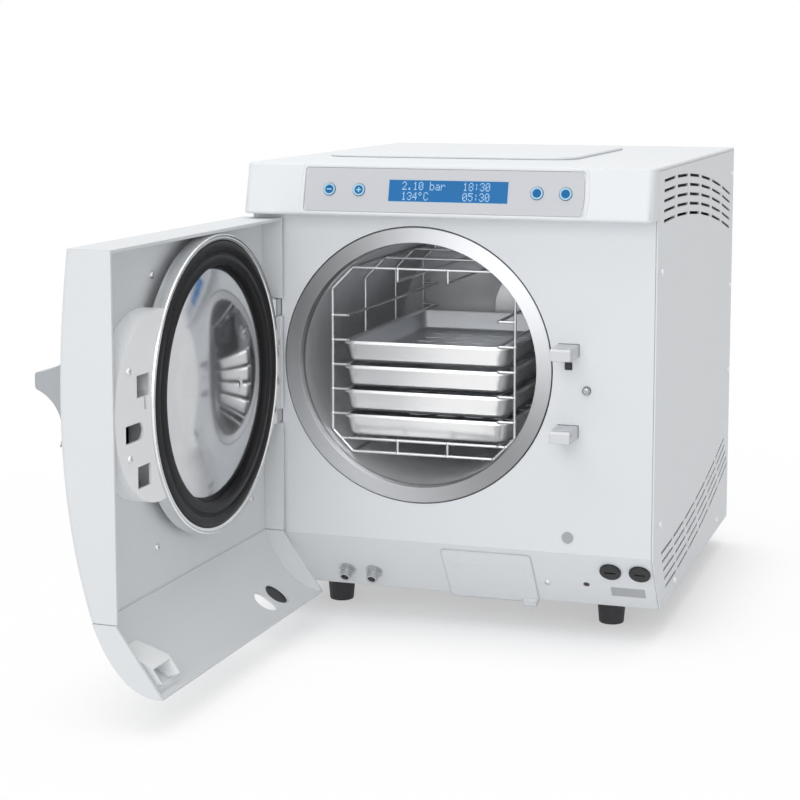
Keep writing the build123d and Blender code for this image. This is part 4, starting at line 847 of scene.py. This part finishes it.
def raised(name, bm, thickness, proud):
    """Gives a flat drawing in millimetres a thickness and lays it on the fascia."""
    bmesh.ops.scale(bm, vec=(MM, MM, MM), verts=bm.verts)
    mesh = bpy.data.meshes.new(name)
    bm.to_mesh(mesh)
    bm.free()
    mesh = applied(name, mesh, ("SOLIDIFY", {"thickness": thickness * MM, "offset": -1.0}))
    mesh.transform(fascia_plane(proud))
    return mesh


def face_height(node):
    """How far a node's outermost point stands out of the fascia, in millimetres."""
    origin = on_fascia(0, 0) * MM
    return max((v.co - origin).dot(FASCIA_OUT) for v in frame["nodes"][node].data.vertices) / MM


BUTTONS = {"minus": -120.0, "plus": -88.5, "option": 96.0, "start": 124.8}
BUTTON_LIFT = 27.3


class STERILISER_OT_controls(bpy.types.Operator):
    """Print the rings and signs of the push buttons and fit the trim of the panel"""

    bl_idname = "steriliser.controls"
    bl_label = "Buttons and trim"

    def execute(self, context):
        sunk = -1.2
        around = bmesh.new()
        for name, x in BUTTONS.items():
            flat_ring(around, x, BUTTON_LIFT, 6.75, 7.8)
            top = bmesh.new()
            flat_ring(top, x, BUTTON_LIFT, 4.4, 6.1)
            if name in ("minus", "plus"):
                flat_bar(top, x, BUTTON_LIFT, 5.0, 1.3)
            if name == "plus":
                flat_bar(top, x, BUTTON_LIFT + 1.6, 1.3, 1.9)
                flat_bar(top, x, BUTTON_LIFT - 1.6, 1.3, 1.9)
            proud = face_height(f"button_{name}")
            mesh = raised(f"button_{name}_print", top, 0.1, proud + 0.06)
            piece(f"button_{name}_print", mesh, "button_ring", f"button_{name}_body")
        mesh = raised("button_surrounds", around, 0.12, sunk + 0.06)
        piece("button_surrounds", mesh, "button_halo", "case")
        self.trim()
        return {"FINISHED"}

    def trim(self):
        for side, x, name in ((-1, -151.7, "left"), (1, 147.9, "right")):
            points = []
            for k in range(13):
                t = k / 12 * 2 - 1
                points.append(on_fascia(x - side * 2.6 * t * t, 27.25 + 24.5 * t, -0.15) * MM)
            line = bpy.data.meshes.new("trim_line")
            line.from_pydata(points, [(k, k + 1) for k in range(12)], [])
            values = {"Wire radius": 0.0008, "Bead radius": 0.0008, "Material": finishes["panel_trim"]}
            mesh = grown("panel_trim", line, wire_tree(), values)
            piece(f"panel_trim_{name}", mesh, "panel_trim", "case", smooth=60)


GLYPHS = {
    "0": ".###. #...# #..## #.#.# ##..# #...# .###.",
    "1": "..#.. .##.. ..#.. ..#.. ..#.. ..#.. .###.",
    "2": ".###. #...# ....# ...#. ..#.. .#... #####",
    "3": ".###. #...# ....# ..##. ....# #...# .###.",
    "4": "...#. ..##. .#.#. #..#. ##### ...#. ...#.",
    "5": "##### #.... ####. ....# ....# #...# .###.",
    "8": ".###. #...# #...# .###. #...# #...# .###.",
    ":": "..... ..#.. ..#.. ..... ..#.. ..#.. .....",
    ".": "..... ..... ..... ..... ..... .##.. .##..",
    "*": ".##.. #..#. .##.. ..... ..... ..... .....",
    "C": ".###. #...# #.... #.... #.... #...# .###.",
    "b": "#.... #.... ####. #...# #...# #...# ####.",
    "a": "..... ..... .###. ....# .#### #...# .####",
    "r": "..... ..... #.##. ##..# #.... #.... #....",
    " ": "..... ..... ..... ..... ..... ..... .....",
}
TALLER = 1.26
DISPLAY_LINES = ("2.10 bar   18:30", "134*C      05:30")


def dot_tree():
    """A small square dot on every point."""
    inputs = (("Dot", "NodeSocketFloat", 0.0008), ("Material", "NodeSocketMaterial", None))
    tree, start, end = growth_tree("Display dots", inputs)
    link = tree.links.new
    dot = tree.nodes.new("GeometryNodeMeshGrid")
    dot.inputs["Vertices X"].default_value = 2
    dot.inputs["Vertices Y"].default_value = 2
    spread = tree.nodes.new("GeometryNodeInstanceOnPoints")
    link(start.outputs["Dot"], dot.inputs["Size X"])
    link(start.outputs["Dot"], dot.inputs["Size Y"])
    link(start.outputs["Geometry"], spread.inputs["Points"])
    link(dot.outputs["Mesh"], spread.inputs["Instance"])
    closing_nodes(tree, spread.outputs["Instances"], start.outputs["Material"], end)
    return tree


class STERILISER_OT_display(bpy.types.Operator):
    """Light the dots of the display and frame its window"""

    bl_idname = "steriliser.display"
    bl_label = "Display"

    def execute(self, context):
        pitch = context.scene.steriliser_sizes.dot_pitch
        points = []
        for row, line in enumerate(DISPLAY_LINES):
            for place, letter in enumerate(line):
                for j, bits in enumerate(GLYPHS[letter].split()):
                    for i, bit in enumerate(bits):
                        if bit == "#":
                            x = (place * 6 + i) * pitch - 0.0427
                            y = (7.3 - row * 8.6 - j) * pitch
                            points.append((x, y, 0))
        mesh = bpy.data.meshes.new("dots")
        mesh.from_pydata(points, [], [])
        made = grown("dots", mesh, dot_tree(), {"Dot": pitch * 0.82, "Material": finishes["display_dots"]})
        proud = face_height("display_window")
        made.transform(Matrix.Translation((0, BUTTON_LIFT * MM, 0)) @ Matrix.Diagonal((1, TALLER, 1, 1)))
        made.transform(fascia_plane(proud + 0.05))
        piece("display_characters", made, "display_dots", "case")
        rim = bmesh.new()
        middle, width, height, line = 4.8, 124.0, 22.5, 0.7
        for end in (1, -1):
            flat_bar(rim, middle, BUTTON_LIFT + end * height / 2, width + line, line)
        for end in (-1, 1):
            flat_bar(rim, middle + end * width / 2, BUTTON_LIFT, line, height - line)
        mesh = raised("display_rim", rim, 0.14, proud + 0.08)
        piece("display_rim", mesh, "button_ring", "case")
        return {"FINISHED"}


def prism(bm, profile, left, right):
    """A closed profile of (y, z) drawn out along X."""
    ends = [[bm.verts.new((x, y, z)) for y, z in profile] for x in (left, right)]
    for end in ends:
        bm.faces.new(end)
    for i in range(len(profile)):
        j = (i + 1) % len(profile)
        bm.faces.new((ends[0][i], ends[0][j], ends[1][j], ends[1][i]))


class STERILISER_OT_door_inside(bpy.types.Operator):
    """Turn the plate's rolled rim and its gasket, seal the liner and set a black cap in the outer access hole
    as painted shade
    """

    bl_idname = "steriliser.door_inside"
    bl_label = "Rim, gasket and seals of the door"

    def execute(self, context):
        rim = [
            (138.4, -9.0), (138.4, -4.2), (138.8, -3.0), (139.7, -2.1), (141.0, -1.75), (142.1, -1.95),
            (142.5, -2.5), (142.9, -1.95), (143.8, -1.6), (144.7, -2.0), (145.2, -3.2), (145.25, -15.0),
            (144.6, -15.2),
        ]
        gasket = [
            (115.3, -9.3), (115.3, -3.2), (116.2, -2.0), (118.0, -1.35), (123.0, -1.35), (124.6, -2.2),
            (126.0, -4.2), (127.5, -4.4), (129.0, -2.4), (131.0, -1.4), (135.4, -1.4), (137.6, -2.3),
            (138.3, -3.6), (138.3, -9.3),
        ]
        bm = bmesh.new()
        lathe(bm, rim, chamber_x, chamber_z, steps=160)
        piece("door_plate_rim", mesh_of(bm, "rim", swing=True), "rim_steel", "door")
        bm = bmesh.new()
        lathe(bm, gasket, chamber_x, chamber_z, steps=160)
        mesh = mesh_of(bm, "gasket", swing=True)
        piece("door_gasket_moulded", mesh, "gasket_black", "door", ("door_gasket",))
        # Bulged strip between the lower edge of the liner and the skirt
        strip = [
            (-27, 97.4), (-24.6, 97.4), (-24.2, 97.9), (-24.05, 98.5), (-24.2, 99.1), (-24.6, 99.6),
            (-27, 99.6),
        ]
        bm = bmesh.new()
        prism(bm, strip, -190.7, 180.9)
        piece("liner_strip", mesh_of(bm, "liner_strip", swing=True), "door_liner", "door")
        # Black oval cap in a hole of the skirt's wall: painted shade, a dark part standing for the dark seen
        # through the hole
        bm = bmesh.new()
        cap = [(0, -2.2), (11.5, -2.2), (11.5, -1.2), (10.4, -1.2), (9.9, -1.9), (0, -1.9)]
        lathe(bm, cap, 0, 0, steps=48)
        lean = Matrix.Rotation(math.radians(56), 4, "X") @ Matrix.Diagonal((1, 1, 1.2, 1))
        bmesh.ops.transform(bm, matrix=Matrix.Translation((-132.05, 12.9, 46.6)) @ lean, verts=bm.verts)
        mesh = mesh_of(bm, "access_cap", swing=True)
        piece("access_cap", mesh, "plastic_black", "door")
        return {"FINISHED"}


class STERILISER_OT_feet(bpy.types.Operator):
    """Stand the case on its rubber feet"""

    bl_idname = "steriliser.feet"
    bl_label = "Rubber feet"

    def execute(self, context):
        low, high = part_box("feet")
        height = (high.z - low.z) / MM
        profile = [
            (0, 0), (11.4, 0), (12.6, 0.5), (13.1, 1.6), (15.3, height - 11), (15.9, height - 8.6),
            (17.2, height - 8.2), (17.8, height - 7.2), (17.8, height - 0.9), (17.4, height), (0, height),
        ]
        bm = bmesh.new()
        lathe(bm, profile, 0, 0, steps=48)
        bmesh.ops.transform(bm, matrix=Matrix.Rotation(math.radians(90), 4, "X"), verts=bm.verts)
        foot = bpy.data.objects.new("foot", mesh_of(bm, "foot"))
        cad_foot = 15.5 * MM
        across, along = (low.x + cad_foot, high.x - cad_foot), (low.y + cad_foot, high.y - cad_foot)
        seats = [(x, y, low.z) for x in across for y in along]
        places = bpy.data.meshes.new("feet")
        places.from_pydata(seats, [], [])
        upright = places.attributes.new("facing", "FLOAT_VECTOR", "POINT")
        upright.data.foreach_set("vector", [0.0, 0.0, 1.0] * len(seats))
        values = {"Head": foot, "Size": 1.0, "Material": finishes["rubber_black"]}
        made = grown("feet", places, seat_tree(), values)
        piece("feet_moulded", made, "rubber_black", "case", ("feet",), smooth=50)
        bpy.data.objects.remove(foot)
        return {"FINISHED"}


class STERILISER_OT_floor_and_light(bpy.types.Operator):
    """Set the floor, the studio light, the white background and the camera"""

    bl_idname = "steriliser.stage"
    bl_label = "Studio"

    def execute(self, context):
        self.floor()
        self.world(context)
        self.lamp(context, "Overhead", (-0.4, -0.1, 2.3), (0.0, 0.1, 0.0), 2.6, 26)
        self.lamp(context, "Front", (0.1, -2.8, 1.25), (0.0, 0.0, 0.25), 2.0, 28)
        self.camera(context)
        return {"FINISHED"}

    def floor(self):
        bm = bmesh.new()
        bmesh.ops.create_grid(bm, x_segments=1, y_segments=1, size=12)
        mesh = bpy.data.meshes.new("floor")
        bm.to_mesh(mesh)
        bm.free()
        floor = bpy.data.objects.new("studio_floor", mesh)
        bpy.context.scene.collection.objects.link(floor)
        f = Finish("studio_floor")
        radius = f.node("ShaderNodeVectorMath", {"operation": "LENGTH"}, {0: f.place}, out="Value")
        seen = f.node("ShaderNodeLightPath", out="Is Camera Ray")
        mirrored = f.node("ShaderNodeLightPath", out="Is Glossy Ray")
        passed = f.node("ShaderNodeLightPath", out="Is Transmission Ray")
        near = f.node("ShaderNodeBsdfPrincipled", None, {
            "Base Color": f.blend(f.noise(3, 2), (0.93, 0.93, 0.935), (0.95, 0.95, 0.955)), "Roughness": 0.9,
            "Specular IOR Level": 0.1,
        }, out="BSDF")
        white = f.node("ShaderNodeEmission", None, {"Color": (1.0, 1.0, 1.0), "Strength": 1.0})
        open_sky = f.node("ShaderNodeAmbientOcclusion", {"samples": 8}, {"Distance": 0.16}, out="AO")
        lit = 0.4 + 0.56 * open_sky.between(0.35, 0.92)
        far = radius.between(0.6, 1.4)
        share = (seen + mirrored + passed).math("MINIMUM", 1.0) * (lit + (1 - lit) * far)
        mixed = f.node("ShaderNodeMixShader", None, {0: share, 1: near, 2: white})
        f.tree.links.new(mixed.socket, f.output.inputs["Surface"])
        mesh.materials.append(f.material)

    def world(self, context):
        world = bpy.data.worlds.new("studio")
        context.scene.world = world
        world.use_nodes = True
        tree = world.node_tree
        tree.nodes.clear()
        out = tree.nodes.new("ShaderNodeOutputWorld")
        path = tree.nodes.new("ShaderNodeLightPath")
        seen = path.outputs["Is Camera Ray"]
        for ray in ("Is Transmission Ray", "Is Glossy Ray"):
            either = tree.nodes.new("ShaderNodeMath")
            either.operation = "MAXIMUM"
            tree.links.new(seen, either.inputs[0])
            tree.links.new(path.outputs[ray], either.inputs[1])
            seen = either.outputs[0]
        mix = tree.nodes.new("ShaderNodeMixShader")
        tree.links.new(seen, mix.inputs[0])
        for place, colour, strength in ((1, (0.97, 0.985, 1.0, 1), 0.454), (2, (1, 1, 1, 1), 1.0)):
            light = tree.nodes.new("ShaderNodeBackground")
            light.inputs["Color"].default_value = colour
            light.inputs["Strength"].default_value = strength
            tree.links.new(light.outputs[0], mix.inputs[place])
        tree.links.new(mix.outputs[0], out.inputs["Surface"])

    def lamp(self, context, name, place, aim, size, power):
        data = bpy.data.lights.new(name, "AREA")
        data.size = size
        data.energy = power
        obj = bpy.data.objects.new(name, data)
        obj.location = place
        obj.rotation_euler = (Vector(aim) - Vector(place)).to_track_quat("-Z", "Y").to_euler()
        context.scene.collection.objects.link(obj)

    def camera(self, context):
        data = bpy.data.cameras.new("photo_view")
        data.sensor_width = 36
        data.lens = 88.7
        data.shift_y = -0.12
        data.clip_start = 0.05
        data.clip_end = 50
        obj = bpy.data.objects.new("photo_view", data)
        obj.location = (0.5630, -1.8987, 0.5890)
        obj.rotation_euler = Euler((math.radians(90 - 7.063), 0, math.radians(17.957)), "XYZ")
        context.scene.collection.objects.link(obj)
        context.scene.camera = obj
        context.scene.view_settings.view_transform = "Standard"


steps = (
    STERILISER_OT_finishes,
    STERILISER_OT_rack,
    STERILISER_OT_trays,
    STERILISER_OT_screws,
    STERILISER_OT_controls,
    STERILISER_OT_display,
    STERILISER_OT_door_inside,
    STERILISER_OT_feet,
    STERILISER_OT_floor_and_light,
)


class STERILISER_PT_panel(bpy.types.Panel):
    """Lists the steps in the order they are made"""

    bl_idname = "STERILISER_PT_panel"
    bl_label = "Steriliser"
    bl_space_type = "VIEW_3D"
    bl_region_type = "UI"
    bl_category = "Steriliser"

    def draw(self, context):
        for step in steps:
            self.layout.operator(step.bl_idname)
        for group in (context.scene.steriliser_sizes, context.scene.steriliser_colours):
            for name in group.bl_rna.properties.keys():
                if name not in ("rna_type", "name"):
                    self.layout.prop(group, name)


classes = (SteriliserSizes, SteriliserColours, *steps, STERILISER_PT_panel)


def register():
    for cls in classes:
        bpy.utils.register_class(cls)
    bpy.types.Scene.steriliser_sizes = bpy.props.PointerProperty(type=SteriliserSizes)
    bpy.types.Scene.steriliser_colours = bpy.props.PointerProperty(type=SteriliserColours)


def unregister():
    del bpy.types.Scene.steriliser_colours
    del bpy.types.Scene.steriliser_sizes
    for cls in reversed(classes):
        bpy.utils.unregister_class(cls)


def main():
    register()
    bpy.ops.steriliser.finishes()
    bpy.ops.steriliser.rack()
    bpy.ops.steriliser.trays()
    bpy.ops.steriliser.screws()
    bpy.ops.steriliser.controls()
    bpy.ops.steriliser.display()
    bpy.ops.steriliser.door_inside()
    bpy.ops.steriliser.feet()
    bpy.ops.steriliser.stage()


if __name__ == "__main__":
    main()
